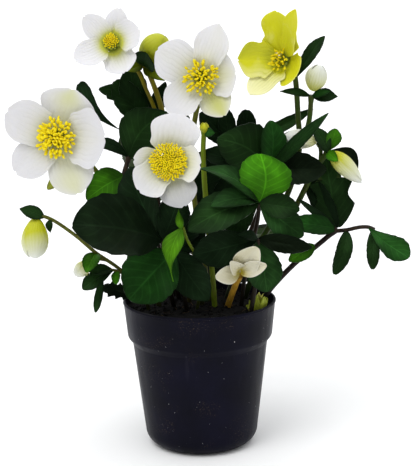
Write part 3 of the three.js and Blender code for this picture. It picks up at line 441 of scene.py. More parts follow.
LEAVES = (
    Growth("leaf_front_right", (0, -0.85, 0.5), Stem.PURPLE, (
        stalk(1.7, (33, -10), (38, -13, 150), (46, -24, 185), (47, -30, 200)),
    ), (
        Leaflet((48, -38, 239), 41, 0.06, 0.6, 0.5, (0, -1, 0.1), Green.FRESH, sway=0.1),
        Leaflet((2, -46, 230), 22, 0.16, 0.45, 0.9, (0, -0.6, 0.8), Green.MOSS),
        Leaflet((10, -60, 204), 20, 0.14, 0.6, 0.8, (0, -0.7, 0.7), Green.MOSS),
        Leaflet((-7, -66, 187), 32, 0.14, 0.6, 0.7, (0, -0.8, 0.6)),
        Leaflet((22, -25, 176), 22, 0.1, 0.6, 0.8),
        Leaflet((77, -44, 197), 20, 0.04, 0.55, 0.7, FORWARD, Green.DARK),
        Leaflet((80, -38, 175), 24, 0.05, 0.6, 0.7, FORWARD, Green.MOSS),
    )),
    Growth("leaf_low_right", (0.1, -0.85, 0.5), Stem.PURPLE, (
        stalk(1.8, (40, -32), (44, -32, 140), (46, -34, 173)),
    ), (
        Leaflet((-4, -42, 163), 29, 0.08, 0.6, 0.7, (0, -1, 0.15)),
        Leaflet((30, -46, 179), 9, 0.1, 0.5),
        Leaflet((86, -50, 169), 15, 0.04, 0.5, 0.7, (0, -1, 0.15), Green.BLACK),
        Leaflet((52, -38, 132), 29, 0.04, 0.6, 0.65, (0.2, -1, 0.1), Green.MOSS),
    ), Green.DEEP),
    Growth("leaf_left", (-0.1, -0.8, 0.6), Stem.PURPLE, (
        stalk(1.9, (-20, -12), (-25, -20, 140), (-27, -38, 174)),
    ), (
        Leaflet((-91, -78, 195), 56, 0.1, 0.6, 0.65, green=Green.NIGHT),
        Leaflet((-52, -14, 227), 33, 0.1, 0.6, 0.7, (-0.2, -1, -0.2)),
        Leaflet((-80, -28, 169), 14, 0.03, 0.5, 0.6, FORWARD, base=(-27, -37, 174)),
        Leaflet((-13, -29, 208), 26, 0.1, 0.55, 0.7, (0, -1, 0)),
    ), Green.DEEP),
    Growth("leaf_low_left", (-0.2, -0.9, 0.4), Stem.PURPLE, (
        stalk(1.8, (-10, -22), (-14, -26, 140), (-19, -34, 164)),
    ), (
        Leaflet((-53, -50, 131), 46, 0.1, 0.55, 0.6, (-0.1, -1, 0.3), Green.GRASS),
        Leaflet((7, -42, 127), 29, 0.05, 0.5, 0.7),
        Leaflet((1, -16, 189), 18, 0.1, 0.6, 0.8, (0, -1, 0.3)),
        Leaflet((6, -22, 178), 18, 0.06, 0.5, 0.7, FORWARD),
    ), Green.DEEP),
    Growth("leaf_upper_left", (0, -0.9, 0.3), Stem.PURPLE, (
        stalk(2.1, (-16, 10), (-26, 6, 150), (-48, 4, 188), (-58, 4, 212), (-54, 10, 231)),
        stalk(1.4, (-54, 10.5, 231), (-56, 14, 241), (-57, 14.5, 252)),
    ), (
        Leaflet((-22, 8, 266), 38, 0.06, 0.5, 0.65, sway=-0.12),
        Leaflet((-90, 0, 291), 13, 0.08, 0.84, 0.4, green=Green.DEEP, sway=-0.1, base=(-57, 14, 251)),
        Leaflet((-81, 4, 245), 10, 0.06, 0.6, 0.6, green=Green.DEEP, sway=0.1),
        Leaflet((-86, -14, 202), 27, 0.1, 0.5, 0.6, FORWARD, Green.SPRING, sway=0.04,
                base=(-57, 4.5, 217)),
        Leaflet((-46, 64, 204), 26, 0.14, 0.6, 0.7, UPWARD),
    )),
    Growth("leaf_right", (0, -0.9, 0.4), Stem.PURPLE, (
        stalk(1.8, (24, 2), (32, -1, 150), (48, -4, 190), (56, -4, 220)),
    ), (
        Leaflet((101, -20, 267), 11, 0.1, 0.5, 0.8, (0.3, -0.8, 0.5), Green.MOSS),
        Leaflet((16, -10, 247), 42, 0.08, 0.5, 0.65, sway=0.13),
        Leaflet((4, -4, 236), 20, 0.06, 0.6, 0.7, green=Green.DEEP),
        Leaflet((58, -4, 260), 22, 0.08, 0.58, 0.6, (0.2, -1, 0), Green.GRASS, sway=0.05),
        Leaflet((100, -13, 222), 27, 0.06, 0.5, 0.65, (0, -0.9, 0.4), Green.BLACK),
        Leaflet((58, 46, 204), 24, 0.14, 0.6, 0.7, UPWARD),
        Leaflet((12, 17, 193), 30, 0.05, 0.5, 0.7, FORWARD, Green.DEEP),
    )),
    Growth("leaf_far_right", (0.1, -0.9, 0.4), Stem.PURPLE, (
        stalk(2.2, (49, -2), (52, -2, 119), (61, -1, 130), (78, 0, 147), (92, 0, 158), (110, 0, 173)),
        stalk(1.6, (108, 0, 171), (117, -6, 173), (126, -11, 176), (133, -14, 176.5), (137, -16.5, 175)),
    ), (
        Leaflet((102, 18.5, 228), 39, 0.04, 0.52, 0.6, (0.1, -1, 0), teeth=2, jag=0.75),
        Leaflet((86, 12, 216), 18, 0.04, 0.5, 0.7, FORWARD, Green.DEEP),
        Leaflet((70, -12, 181), 17, 0.06, 0.5, 0.7, (0, -0.9, 0.4), Green.GRASS),
        Leaflet((79, -6, 198), 6, 0.04, 0.5, 0.6, FORWARD, Green.DEEP),
        Leaflet((106, -18, 140), 13.5, 0.06, 0.5, 0.5, sway=-0.05, base=(117, -6, 172)),
        Leaflet((135, -24, 145), 11, 0.04, 0.55, 0.5, base=(136, -16, 175.5)),
        Leaflet((162, -30, 155), 21, 0.12, 0.72, 0.6, green=Green.GRASS, sway=0.07, base=(132, -14, 176.5)),
        Leaflet((71, -7, 149), 13, 0.1, 0.5, 0.6, (0, -1, 0.3), Green.SPRING, base=(92, -1, 160)),
    )),
    Growth("leaf_young", (-0.4, -0.9, 0.2), Stem.LEAF, (
        stalk(1.2, (-2, -20), (2, -22, 138), (-1, -31, 158), (-8, -43, 175), (-11, -50, 186)),
    ), (
        Leaflet((-19, -57, 146), 16, 0.1, 0.32, 2.4, (-0.35, -1, 0.1), sway=0.1, base=(-11, -50, 187)),
        Leaflet((-14, -51, 200), 6.5, 0.1, 0.45, 1.3, (-0.3, -1, 0.2), base=(-12, -50, 184)),
    ), Green.YOUNG, teeth=0),
    Growth("leaf_back", (0, 0.5, 0.85), Stem.PURPLE, (
        stalk(2.0, (4, 28), (3, 42, 150), (0, 60, 185)),
        stalk(1.6, (3, 38, 140), (-16, 52, 152), (-30, 62, 157)),
        stalk(1.6, (3, 40, 144), (18, 50, 152), (32, 58, 155)),
    ), (
        Leaflet((-84, 76, 146), 30, 0.14, 0.6, 0.7, stalk=1),
        Leaflet((-66, 108, 136), 32, 0.16, 0.6, 0.7, green=Green.MOSS, stalk=1),
        Leaflet((-22, 116, 134), 30, 0.16, 0.6, 0.7, stalk=1),
        Leaflet((86, 68, 142), 30, 0.14, 0.6, 0.7, green=Green.MOSS, stalk=2),
        Leaflet((70, 104, 134), 32, 0.16, 0.6, 0.7, stalk=2),
        Leaflet((22, 114, 136), 28, 0.16, 0.6, 0.7, green=Green.MOSS, stalk=2),
        Leaflet((-50, 74, 113), 30, 0.05, 0.6, 0.7, FORWARD, Green.DEEP, stalk=1),
        Leaflet((-15, 78, 111), 36, 0.05, 0.6, 0.7, FORWARD, Green.DEEP, stalk=1),
        Leaflet((15, 76, 111), 36, 0.05, 0.6, 0.7, FORWARD, Green.DEEP, stalk=2),
        Leaflet((50, 72, 113), 30, 0.05, 0.6, 0.7, FORWARD, Green.DEEP, stalk=2),
        Leaflet((32, 72, 112), 34, 0.05, 0.5, 0.6, FORWARD, Green.DEEP, stalk=2),
        Leaflet((-60, 92, 188), 32, 0.12, 0.6, 0.7),
        Leaflet((-34, 122, 176), 34, 0.14, 0.6, 0.7, green=Green.MOSS),
        Leaflet((6, 130, 180), 36, 0.14, 0.6, 0.7),
        Leaflet((44, 116, 174), 34, 0.14, 0.6, 0.7, green=Green.MOSS),
        Leaflet((56, 78, 186), 30, 0.12, 0.6, 0.7),
        Leaflet((9, 52, 230), 38, 0.05, 0.6, 0.7, (0, -1, 0.1), Green.DEEP),
        Leaflet((30, 54, 220), 32, 0.05, 0.6, 0.7, (0, -1, 0.1), Green.DEEP),
    )),
    Growth("leaf_back_left", (-0.2, 0.3, 0.9), Stem.PURPLE, (
        stalk(1.9, (-20, 24), (-27, 32, 160), (-36, 36, 215), (-38, 35, 251)),
    ), (
        Leaflet((-77, 27, 284), 24, 0.06, 0.6, 0.8, (0, -1, 0.3), None, 4, sway=0.22, jag=0.25),
        Leaflet((-64, 28, 290), 24, 0.06, 0.6, 0.5, (0, -1, 0.3)),
        Leaflet((-52, 30, 303), 24, 0.06, 0.6, 0.6, (0, -1, 0.3), sway=-0.08),
        Leaflet((-24, 32, 288), 13, 0.08, 0.6, 0.8, FORWARD, Green.DEEP),
        Leaflet((-58, 90, 216), 26, 0.14, 0.6, 0.7),
        Leaflet((-34, 104, 222), 30, 0.14, 0.6, 0.7, green=Green.MOSS),
        Leaflet((-8, 96, 236), 32, 0.14, 0.6, 0.7),
    )),
    Growth("leaf_back_right", (0.2, 0.3, 0.9), Stem.PURPLE, (
        stalk(1.9, (24, 26), (27, 34, 160), (30, 42, 205), (31, 45, 231)),
    ), (
        Leaflet((23, 40, 266), 15, 0.06, 0.6, 0.6, FORWARD, Green.DEEP, sway=-0.05),
        Leaflet((41, 38, 264), 17, 0.06, 0.68, 0.45, (0.2, -1, 0.2), Green.DEEP, sway=0.08),
        Leaflet((3, 42, 262), 22, 0.06, 0.6, 0.7, (0, -1, 0.3), Green.DEEP),
        Leaflet((94, 36, 264), 11, 0.05, 0.55, 0.7, (0, -1, 0.3), Green.DARK),
        Leaflet((34, 102, 224), 34, 0.14, 0.6, 0.7, green=Green.MOSS),
        Leaflet((74, 84, 214), 30, 0.14, 0.6, 0.7),
    )),
)


# ---- finishes ----


class Board:
    """The nodes of a material or a world, laid out one by one."""

    def __init__(self, owner: Material | bpy.types.World) -> None:
        """Switch on the nodes of a material or a world.

        Args:
            owner: The material or the world.
        """
        owner.use_nodes = True
        self.owner = owner
        self.tree = owner.node_tree
        self.shader = self.tree.nodes.get("Principled BSDF")

    def add(self, kind: str, **sockets: object) -> bpy.types.Node:
        """Add a node.

        Args:
            kind: The node's type, without ShaderNode.
            **sockets: Values or outputs by socket name, with _ for a space; a name that starts with
                a small letter, such as operation, sets the node's own property.

        Returns:
            The node.
        """
        node = self.tree.nodes.new("ShaderNode" + kind)
        for name, value in sockets.items():
            if name[0].islower():
                setattr(node, name, value)
            else:
                self.put(node.inputs[name.replace("_", " ")], value)
        return node

    def put(self, socket: Socket, value: object) -> None:
        """Link a socket to an output, or set it to a value.

        Args:
            socket: The socket.
            value: The output or the value.
        """
        if isinstance(value, Socket):
            self.tree.links.new(value, socket)
        else:
            socket.default_value = value

    def sum(self, operation: str, *terms: object) -> Socket:
        """Work on numbers with a math node.

        Args:
            operation: What the node does.
            *terms: One to three numbers or outputs.

        Returns:
            The node's output.
        """
        node = self.tree.nodes.new("ShaderNodeMath")
        node.operation = operation
        for socket, value in zip(node.inputs, terms):
            self.put(socket, value)
        return node.outputs[0]

    def mix(self, amount: object, first: object, second: object) -> Socket:
        """Blend two colours.

        Args:
            amount: 0 for the first, 1 for the second.
            first: The first colour.
            second: The second colour.

        Returns:
            The blend.
        """
        node = self.tree.nodes.new("ShaderNodeMix")
        node.data_type = "RGBA"
        self.put(node.inputs["Factor"], amount)
        self.put(node.inputs[6], first)
        self.put(node.inputs[7], second)
        return node.outputs[2]

    def ramp(self, value: object, low: float, high: float,
             to_low: float = 0.0, to_high: float = 1.0) -> Socket:
        """Take a number from one range to another, and hold it inside.

        Args:
            value: The number.
            low: Its range's start.
            high: Its range's end.
            to_low: The new start.
            to_high: The new end.

        Returns:
            The new number.
        """
        node = self.add("MapRange", From_Min=low, From_Max=high, To_Min=to_low, To_Max=to_high)
        self.put(node.inputs["Value"], value)
        return node.outputs["Result"]

    def glow(self, amount: object, colour: object, times: float) -> Socket:
        """Brighten a colour in places.

        Args:
            amount: Where, from 0 to 1.
            colour: The colour.
            times: How many times brighter it is where the amount is 1.

        Returns:
            The new colour.
        """
        bright = self.add("VectorMath", operation="SCALE", Scale=times)
        self.put(bright.inputs[0], colour)
        return self.mix(amount, colour, bright.outputs[0])

    def noise(self, scale: float, detail: float = 3.0, stretch: Place = (1, 1, 1)) -> Socket:
        """Lay noise over the object's coordinates.

        Args:
            scale: Its features per metre.
            detail: How many finer layers it has.
            stretch: How much it is squeezed along each axis.

        Returns:
            The noise, from 0 to 1.
        """
        mapping = self.add("Mapping", Vector=self.add("TexCoord").outputs["Object"], Scale=stretch)
        node = self.add("TexNoise", Vector=mapping.outputs[0], Scale=scale, Detail=detail)
        return node.outputs["Fac"]

    def across_and_along(self) -> tuple[Socket, Socket]:
        """Return the place on a sheet: -1 to 1 across it and 0 to 1 along it."""
        split = self.add("SeparateXYZ", Vector=self.add("UVMap", uv_map="UVMap").outputs[0])
        return self.sum("MULTIPLY_ADD", split.outputs[0], 2.0, -1.0), split.outputs[1]

    def bump(self, height: object, strength: float, distance: float) -> None:
        """Give the shader a relief."""
        node = self.add("Bump", Height=height, Strength=strength, Distance=distance)
        self.put(self.shader.inputs["Normal"], node.outputs[0])

    def finish(self, **sockets: object) -> Material:
        """Set the shader's sockets, and return the material.

        Args:
            **sockets: Values or outputs by the shader's socket names, with _ for a space.

        Returns:
            The material.
        """
        for name, value in sockets.items():
            self.put(self.shader.inputs[name.replace("_", " ")], value)
        return self.owner


@dataclass(frozen=True)
class SepalFinish:
    """Satin sepals: a pale ground with a stain of yellow-green and fine veins, with painted shade on some
    sepals and in the throat.
    """

    name: str
    ground: int
    stain: int
    vein: int
    veins: float = 15.0
    vein_depth: float = 0.28  # how far the veins' own colour shows
    clouding: float = 0.12  # how unevenly the stain has soaked in
    thinnest: float = 0.06  # strength of the thinnest clouds, less half the clouding
    painted_shade_colour: int = 0x9C9D9F  # colour of the painted shade on a sepal
    soaked: int = 0x6E7C0C  # colour where the stain is strong
    deepest_stain_and_shade: int = 0x18200A  # colour where it is strongest: the darkest green stain, with painted shade in the throat under the stamens

    def make(self) -> Material:
        """Lay out the nodes.

        Returns:
            The material.
        """
        board = Board(bpy.data.materials.new(self.name))
        across, along = board.across_and_along()
        drift = board.noise(90.0, 2.0)
        wander = board.sum("MULTIPLY_ADD", drift, 0.3, across)
        stripe = board.sum("SINE", board.sum("MULTIPLY", wander, self.veins))
        thin = board.sum("POWER", board.sum("ABSOLUTE", stripe), 6.0)
        fade = board.ramp(along, 1.0, 0.25)
        vein = board.sum("MULTIPLY", thin, fade)
        least = self.thinnest - self.clouding / 2
        cloud = board.ramp(board.noise(55.0, 4.0), 0.35, 0.7, least, self.clouding)
        stain = board.add("Attribute", attribute_name="stain").outputs["Fac"]
        spread = board.sum("ADD", stain, board.sum("MULTIPLY", cloud, stain))
        # painted shade: greys the sepals that lie in shade
        painted_shade = board.add("Attribute", attribute_name="painted_shade").outputs["Fac"]
        shaded = board.mix(painted_shade, linear(self.ground), linear(self.painted_shade_colour))
        ground = board.mix(board.sum("MULTIPLY", vein, self.vein_depth), shaded, linear(self.vein))
        yellow = board.mix(spread, ground, linear(self.stain))
        green = board.mix(board.ramp(stain, 1.0, 1.9), yellow, linear(self.soaked))
        # the strongest stain, round the claws, turns near-black: the stain's own green deepened with painted
        # shade of the throat
        colour = board.mix(board.ramp(stain, 1.8, 2.7), green, linear(self.deepest_stain_and_shade))
        relief = board.sum("MULTIPLY_ADD", vein, -0.9, board.noise(400.0, 3.0))
        board.bump(relief, 0.35, 0.0008)
        return board.finish(
            Base_Color=colour, Roughness=0.52, Specular_IOR_Level=0.35,
            Subsurface_Weight=0.35, Subsurface_Radius=(1.0, 0.95, 0.8), Subsurface_Scale=0.0015,
        )


@dataclass(frozen=True)
class LeafFinish:
    """Leathery leaves: their own green, a paler midrib, side veins and a soft gloss, with painted shade and
    painted sheen.
    """

    name: str
    paleness: float
    roughness: float
    side_veins: float = 46.0  # pace of the side veins along the blade
    mottled: Colour = (0.004, 0.008, 0.004, 1.0)
    # painted shade towards the edges and the base
    shaded: Colour = (0.003, 0.005, 0.003, 1.0)
    underside: int = 0x6E8440
    sheen_patch_glow: float = 2.15  # how much brighter the painted sheen makes its pale patches
    vein_glow: float = 1.7  # how much brighter its veins are
    sheen: Colour = (0.45, 0.75, 0.4, 1.0)

    def make(self) -> Material:
        """Lay out the nodes.

        Returns:
            The material.
        """
        board = Board(bpy.data.materials.new(self.name))
        across, along = board.across_and_along()
        aside = board.sum("ABSOLUTE", across)
        rib = board.ramp(aside, 0.05, 0.015)
        climb = board.sum("MULTIPLY_ADD", aside, -0.32, along)
        wave = board.sum("SINE", board.sum("MULTIPLY", climb, self.side_veins))
        side_vein = board.sum("POWER", board.ramp(wave, -1.0, 1.0), 14.0)
        veins = board.sum("MAXIMUM", rib, board.sum("MULTIPLY", side_vein, 0.5))
        tint = board.add("Attribute", attribute_name="tint").outputs["Color"]
        mottle = board.ramp(board.noise(55.0, 4.0), 0.3, 0.75, 0.0, 0.45)
        deeper = board.mix(mottle, tint, self.mottled)
        # painted shade: darker towards the edges and the base
        edge = board.ramp(aside, 0.45, 1.0, 0.0, 0.5)
        base = board.ramp(along, 0.4, 0.0, 0.0, 0.45)
        edge_and_base_shaded = board.mix(board.sum("MAXIMUM", edge, base), deeper, self.shaded)
        # painted sheen: random pale patches brightened like a satin highlight
        patch = board.ramp(board.noise(34.0, 3.0), 0.46, 0.66)
        pale = board.mix(self.paleness, board.glow(patch, edge_and_base_shaded, self.sheen_patch_glow), linear(self.underside))
        colour = board.glow(veins, pale, self.vein_glow)
        grain = board.noise(900.0, 3.0)
        relief = board.sum("MULTIPLY_ADD", veins, -1.2, board.sum("MULTIPLY", grain, 0.5))
        board.bump(relief, 0.2, 0.0005)
        gloss = board.ramp(grain, 0.3, 0.7, self.roughness - 0.05, self.roughness + 0.08)
        return board.finish(
            Base_Color=colour, Roughness=gloss, Specular_IOR_Level=0.05, Specular_Tint=self.sheen)


@dataclass(frozen=True)
class StalkFinish:
    """Smooth stalks, flushed with brown and freckled, and darkened with painted shade near the soil."""

    name: str
    flush: int = 0x4A3A22
    freckles: int = 0x3A1C1E
    gloom: int = 0x060704  # colour in the shade near the soil

    def make(self) -> Material:
        """Lay out the nodes.

        Returns:
            The material.
        """
        board = Board(bpy.data.materials.new(self.name))
        tint = board.add("Attribute", attribute_name="tint").outputs["Color"]
        shade = board.add("Attribute", attribute_name="shade").outputs["Fac"]
        streak = board.ramp(board.noise(420.0, 4.0, (1, 1, 0.08)), 0.35, 0.7, 0.0, 0.5)
        flushed = board.mix(streak, tint, linear(self.flush))
        freckle = board.ramp(board.noise(1500.0, 2.0), 0.66, 0.74, 0.0, 0.5)
        freckled = board.mix(freckle, flushed, linear(self.freckles))
        colour = board.mix(shade, linear(self.gloom), freckled)
        board.bump(board.noise(600.0, 3.0, (1, 1, 0.1)), 0.2, 0.0004)
        return board.finish(
            Base_Color=colour, Roughness=0.45, Specular_IOR_Level=0.12,
            Subsurface_Weight=0.1, Subsurface_Radius=(0.8, 1.0, 0.3), Subsurface_Scale=0.001,
        )


@dataclass(frozen=True)
class PowderFinish:
    """A dusty finish in two shades, for anthers, filaments, nectaries and carpels."""

    name: str
    light: int
    dark: int
    grain: float = 1800.0
    roughness: float = 0.6

    def make(self) -> Material:
        """Lay out the nodes.

        Returns:
            The material.
        """
        board = Board(bpy.data.materials.new(self.name))
        dust = board.noise(self.grain, 3.0)
        patch = board.noise(240.0, 2.0)
        amount = board.ramp(board.sum("ADD", dust, patch), 0.75, 1.25)
        colour = board.mix(amount, linear(self.dark), linear(self.light))
        board.bump(dust, 0.4, 0.0003)
        return board.finish(Base_Color=colour, Roughness=self.roughness, Specular_IOR_Level=0.3)


@dataclass(frozen=True)
class PotFinish:
    """Blue-black polypropylene with a soft sheen, dull scuffs, dust and grains of soil."""

    name: str
    dark: int = 0x0A0A14
    light: int = 0x0E0E1E
    worn: int = 0x1E1D28
    soil: int = 0x4E4233
    dust: int = 0xA6A6A8

    def make(self) -> Material:
        """Lay out the nodes.

        Returns:
            The material.
        """
        board = Board(bpy.data.materials.new(self.name))
        cloud = board.ramp(board.noise(28.0, 4.0), 0.35, 0.7)
        ground = board.mix(cloud, linear(self.dark), linear(self.light))
        scuff = board.noise(160.0, 5.0, (1, 1, 0.12))
        worn = board.ramp(scuff, 0.64, 0.78, 0.0, 0.4)
        dull = board.mix(worn, ground, linear(self.worn))
        handled = board.ramp(board.noise(38.0, 2.0), 0.54, 0.64)
        grains = board.ramp(board.noise(1100.0, 3.0), 0.6, 0.7, 0.0, 0.7)
        soiled = board.mix(board.sum("MULTIPLY", handled, grains), dull, linear(self.soil))
        speck = board.ramp(board.noise(700.0, 1.0), 0.79, 0.81)
        colour = board.mix(speck, soiled, linear(self.dust))
        gloss = board.ramp(scuff, 0.35, 0.75, 0.33, 0.52)
        grain = board.noise(2600.0, 2.0)
        board.bump(board.sum("MULTIPLY_ADD", scuff, 0.5, grain), 0.12, 0.0003)
        return board.finish(Base_Color=colour, Roughness=gloss, Specular_IOR_Level=0.055)


@dataclass(frozen=True)
class PeatFinish:
    """Dark peat with paler and browner grains."""

    name: str
    dark: int
    brown: int
    pale: int

    def make(self) -> Material:
        """Lay out the nodes.

        Returns:
            The material.
        """
        board = Board(bpy.data.materials.new(self.name))
        coarse = board.noise(220.0, 6.0)
        fine = board.noise(1400.0, 4.0)
        brown = board.ramp(coarse, 0.4, 0.7)
        colour = board.mix(brown, linear(self.dark), linear(self.brown))
        colour = board.mix(board.ramp(fine, 0.66, 0.76, 0.0, 0.7), colour, linear(self.pale))
        board.bump(board.sum("ADD", coarse, fine), 0.9, 0.001)
        return board.finish(Base_Color=colour, Roughness=0.95, Specular_IOR_Level=0.2)


@dataclass(frozen=True)
class StageFinish:
    """The plain pale floor."""

    name: str
    dark: float = 0.92
    light: float = 0.94

    def make(self) -> Material:
        """Lay out the nodes.

        Returns:
            The material.
        """
        board = Board(bpy.data.materials.new(self.name))
        tone = board.ramp(board.noise(3.0, 2.0), 0.3, 0.7)
        colour = board.mix(tone, (*[self.dark] * 3, 1.0), (*[self.light] * 3, 1.0))
        return board.finish(Base_Color=colour, Roughness=0.9, Specular_IOR_Level=0.1)


# ---- modelling ----


def deselect() -> None:
    """Leave nothing selected."""
    bpy.ops.object.select_all(action="DESELECT")


def pick(*pieces: Piece) -> None:
    """Select these pieces only, the first one active.

    Args:
        *pieces: The pieces.
    """
    deselect()
    for piece in pieces:
        piece.select_set(True)
    bpy.context.view_layer.objects.active = pieces[0]


def stand(name: str, data: bpy.types.ID) -> Piece:
    """Put a new object in the scene.

    Args:
        name: Its name.
        data: Its mesh, curve, camera or lamp.

    Returns:
        The object.
    """
    thing = bpy.data.objects.new(name, data)
    bpy.context.scene.collection.objects.link(thing)
    return thing


def apply(piece: Piece, kind: str, **settings: object) -> None:
    """Give a piece a modifier, and apply it.

    Args:
        piece: The piece.
        kind: The modifier's type.
        **settings: The modifier's settings.
    """
    pick(piece)
    modifier = piece.modifiers.new(kind.title(), kind)
    for name, value in settings.items():
        setattr(modifier, name, value)
    bpy.ops.object.modifier_apply(modifier=modifier.name)


def smooth(piece: Piece, degrees: float = 40.0) -> None:
    """Shade a piece smooth, but for edges sharper than this."""
    pick(piece)
    bpy.ops.object.shade_smooth_by_angle(angle=math.radians(degrees))


def paint(piece: Piece, name: str, value: float | Colour | Sequence[float]) -> None:
    """Store a number for each point, or one colour for all of them, as an attribute.

    Args:
        piece: The piece.
        name: The attribute's name.
        value: The numbers, or one number or colour for all points.
    """
    points = len(piece.data.vertices)
    if isinstance(value, tuple):
        layer = piece.data.attributes.new(name, "FLOAT_COLOR", "POINT")
        layer.data.foreach_set("color", list(value) * points)
        return
    layer = piece.data.attributes.new(name, "FLOAT", "POINT")
    layer.data.foreach_set("value", list(value) if isinstance(value, Sequence) else [value] * points)


def gather(name: str, pieces: Sequence[Piece]) -> Piece:
    """Join pieces into one of this name.

    Args:
        name: The new name.
        pieces: The pieces.

    Returns:
        The joined piece.
    """
    pick(*pieces)
    if len(pieces) > 1:
        bpy.ops.object.join()
    piece = bpy.context.object
    piece.name = piece.data.name = name
    return piece


def membrane(columns: int, rows: int, place: Callable[[float, float], Vector],
             stain: Callable[[float, float], float] | None = None) -> Piece:
    """Shape a flat grid into a sheet.

    Args:
        columns: Faces across it.
        rows: Faces along it, closer together at its ends.
        place: Gives a point in millimetres for how far along (0 to 1) and across (-1 to 1) it is.
        stain: Gives the stain there.

    Returns:
        The sheet, not yet thick.
    """
    deselect()
    bpy.ops.mesh.primitive_grid_add(x_subdivisions=columns, y_subdivisions=rows, size=2.0)
    piece = bpy.context.object
    mesh = piece.data
    spots = [((1 - math.cos(math.pi * (v.co.y + 1) / 2)) / 2, v.co.x) for v in mesh.vertices]
    mesh.vertices.foreach_set("co", [c * MM for spot in spots for c in place(*spot)])
    layer = mesh.uv_layers.active
    layer.name = "UVMap"
    for loop in mesh.loops:
        along, across = spots[loop.vertex_index]
        layer.data[loop.index].uv = ((across + 1) / 2, along)
    if stain:
        paint(piece, "stain", [stain(*spot) for spot in spots])
    return piece


def thicken(piece: Piece, thickness: float, underside: bool = False) -> None:
    """Give a sheet its thickness in millimetres; its back may have the second material."""
    apply(piece, "SOLIDIFY", thickness=thickness * MM, offset=0.0, material_offset=int(underside))


def outline(along: float, belly: float, blunt: float) -> float:
    """Return how wide a leaflet or sepal is there, as a part of its greatest width."""
    warp = math.log(0.5) / math.log(belly)
    return math.sin(math.pi * min(1.0, max(0.0, along)) ** warp) ** blunt


def bell(distance: float, spread: float = 1.0) -> float:
    """Return 1 at no distance, falling off smoothly over the spread."""
    return math.exp(-(distance / spread) ** 2)


def arch(along: float) -> float:
    """Return 1 in the middle of a length and 0 at both its ends."""
    return math.sin(math.pi * along)


def spoke(turn: float, out: float = 1.0, rise: float = 0.0) -> Vector:
    """Return the place this far out from the Z axis, at this turn and height."""
    return Vector((out * math.cos(turn), out * math.sin(turn), rise))


def between(start: Place, end: Place, shares: Sequence[float]) -> list[Place]:
    """Return the rings of a profile at these shares of the way from one ring to another."""
    return [tuple(a + (b - a) * share for a, b in zip(start, end)) for share in shares]


def sheet_axes(start: Place, tip: Place, face: Place) -> tuple[Vector, Vector, Vector, Vector, float]:
    """Work out how a leaflet lies.

    Args:
        start: Where it starts.
        tip: Where it ends.
        face: The way its upper side looks.

    Returns:
        Its start, its way along, across and up, and its length.
    """
    base = Vector(start)
    ahead = Vector(tip) - base
    length = ahead.length
    ahead.normalize()
    wanted = Vector(face)
    up = (wanted - ahead * wanted.dot(ahead)).normalized()
    return base, ahead, ahead.cross(up), up, length


def curve_through(places: Sequence[Vector], steps: int) -> list[Vector]:
    """Draw a centripetal Catmull-Rom curve.

    Args:
        places: The places it runs through.
        steps: How many steps it takes.

    Returns:
        The points on it, from end to end.
    """
    ends = [places[0] * 2 - places[1], *places, places[-1] * 2 - places[-2]]
    spans = len(places) - 1
    points = []
    for step in range(steps + 1):
        at = spans * step / steps
        index = min(int(at), spans - 1)
        w = at - index
        p0, p1, p2, p3 = ends[index:index + 4]
        d0, d1, d2 = (max((b - a).length ** 0.5, 1e-4) for a, b in ((p0, p1), (p1, p2), (p2, p3)))
        m1 = ((p1 - p0) / d0 - (p2 - p0) / (d0 + d1) + (p2 - p1) / d1) * d1
        m2 = ((p2 - p1) / d1 - (p3 - p1) / (d1 + d2) + (p3 - p2) / d2) * d1
        points.append(p1 + m1 * w + (p2 * 3 - p1 * 3 - m1 * 2 - m2) * w ** 2
                      + (p1 * 2 - p2 * 2 + m1 + m2) * w ** 3)
    return points


def tube(points: Sequence[Vector], radii: Sequence[float], resolution: int = 3) -> Piece:
    """Draw a round closed tube along points, in millimetres.

    Args:
        points: The points.
        radii: The tube's radius at each of them.
        resolution: How finely it is rounded.

    Returns:
        The tube.
    """
    curve = bpy.data.curves.new("stalk", "CURVE")
    curve.dimensions = "3D"
    curve.bevel_depth = MM
    curve.bevel_resolution = resolution
    curve.use_fill_caps = True
    line = curve.splines.new("POLY")
    line.points.add(len(points) - 1)
    for knot, point, radius in zip(line.points, points, radii):
        knot.co = (*(point * MM), 1.0)
        knot.radius = radius
    pick(stand("stalk", curve))
    bpy.ops.object.convert(target="MESH")
    mend(bpy.context.object)
    return bpy.context.object


def mend(piece: Piece) -> None:
    """Merge doubled points and turn all faces outwards.

    Args:
        piece: A closed piece.
    """
    pick(piece)
    bpy.ops.object.mode_set(mode="EDIT")
    bpy.ops.mesh.select_all(action="SELECT")
    bpy.ops.mesh.remove_doubles(threshold=MERGE_GAP)
    bpy.ops.mesh.normals_make_consistent(inside=False)
    bpy.ops.object.mode_set(mode="OBJECT")


def turned(profile: Sequence[tuple[float, float]], sides: int) -> Piece:
    """Draw up a closed body of turning, ring by ring, from a disc.

    Args:
        profile: (radius, height) of each ring in millimetres, from the bottom disc on.
        sides: Faces round it.

    Returns:
        The body, about the Z axis.
    """
    deselect()
    radius, height = profile[0]
    bpy.ops.mesh.primitive_circle_add(
        vertices=sides, radius=radius * MM, fill_type="NGON", location=(0, 0, height * MM))
    piece = bpy.context.object
    bpy.ops.object.transform_apply(location=True, rotation=False, scale=False)
    bpy.ops.object.mode_set(mode="EDIT")
    bpy.ops.mesh.select_all(action="SELECT")
    for next_radius, next_height in profile[1:]:
        rise = (next_height - height) * MM
        bpy.ops.mesh.extrude_region_move(TRANSFORM_OT_translate={"value": (0, 0, rise)})
        scale = next_radius / radius
        bpy.ops.transform.resize(value=(scale, scale, 1), center_override=(0, 0, 0))
        radius, height = next_radius, next_height
    bpy.ops.object.mode_set(mode="OBJECT")
    mend(piece)
    return piece


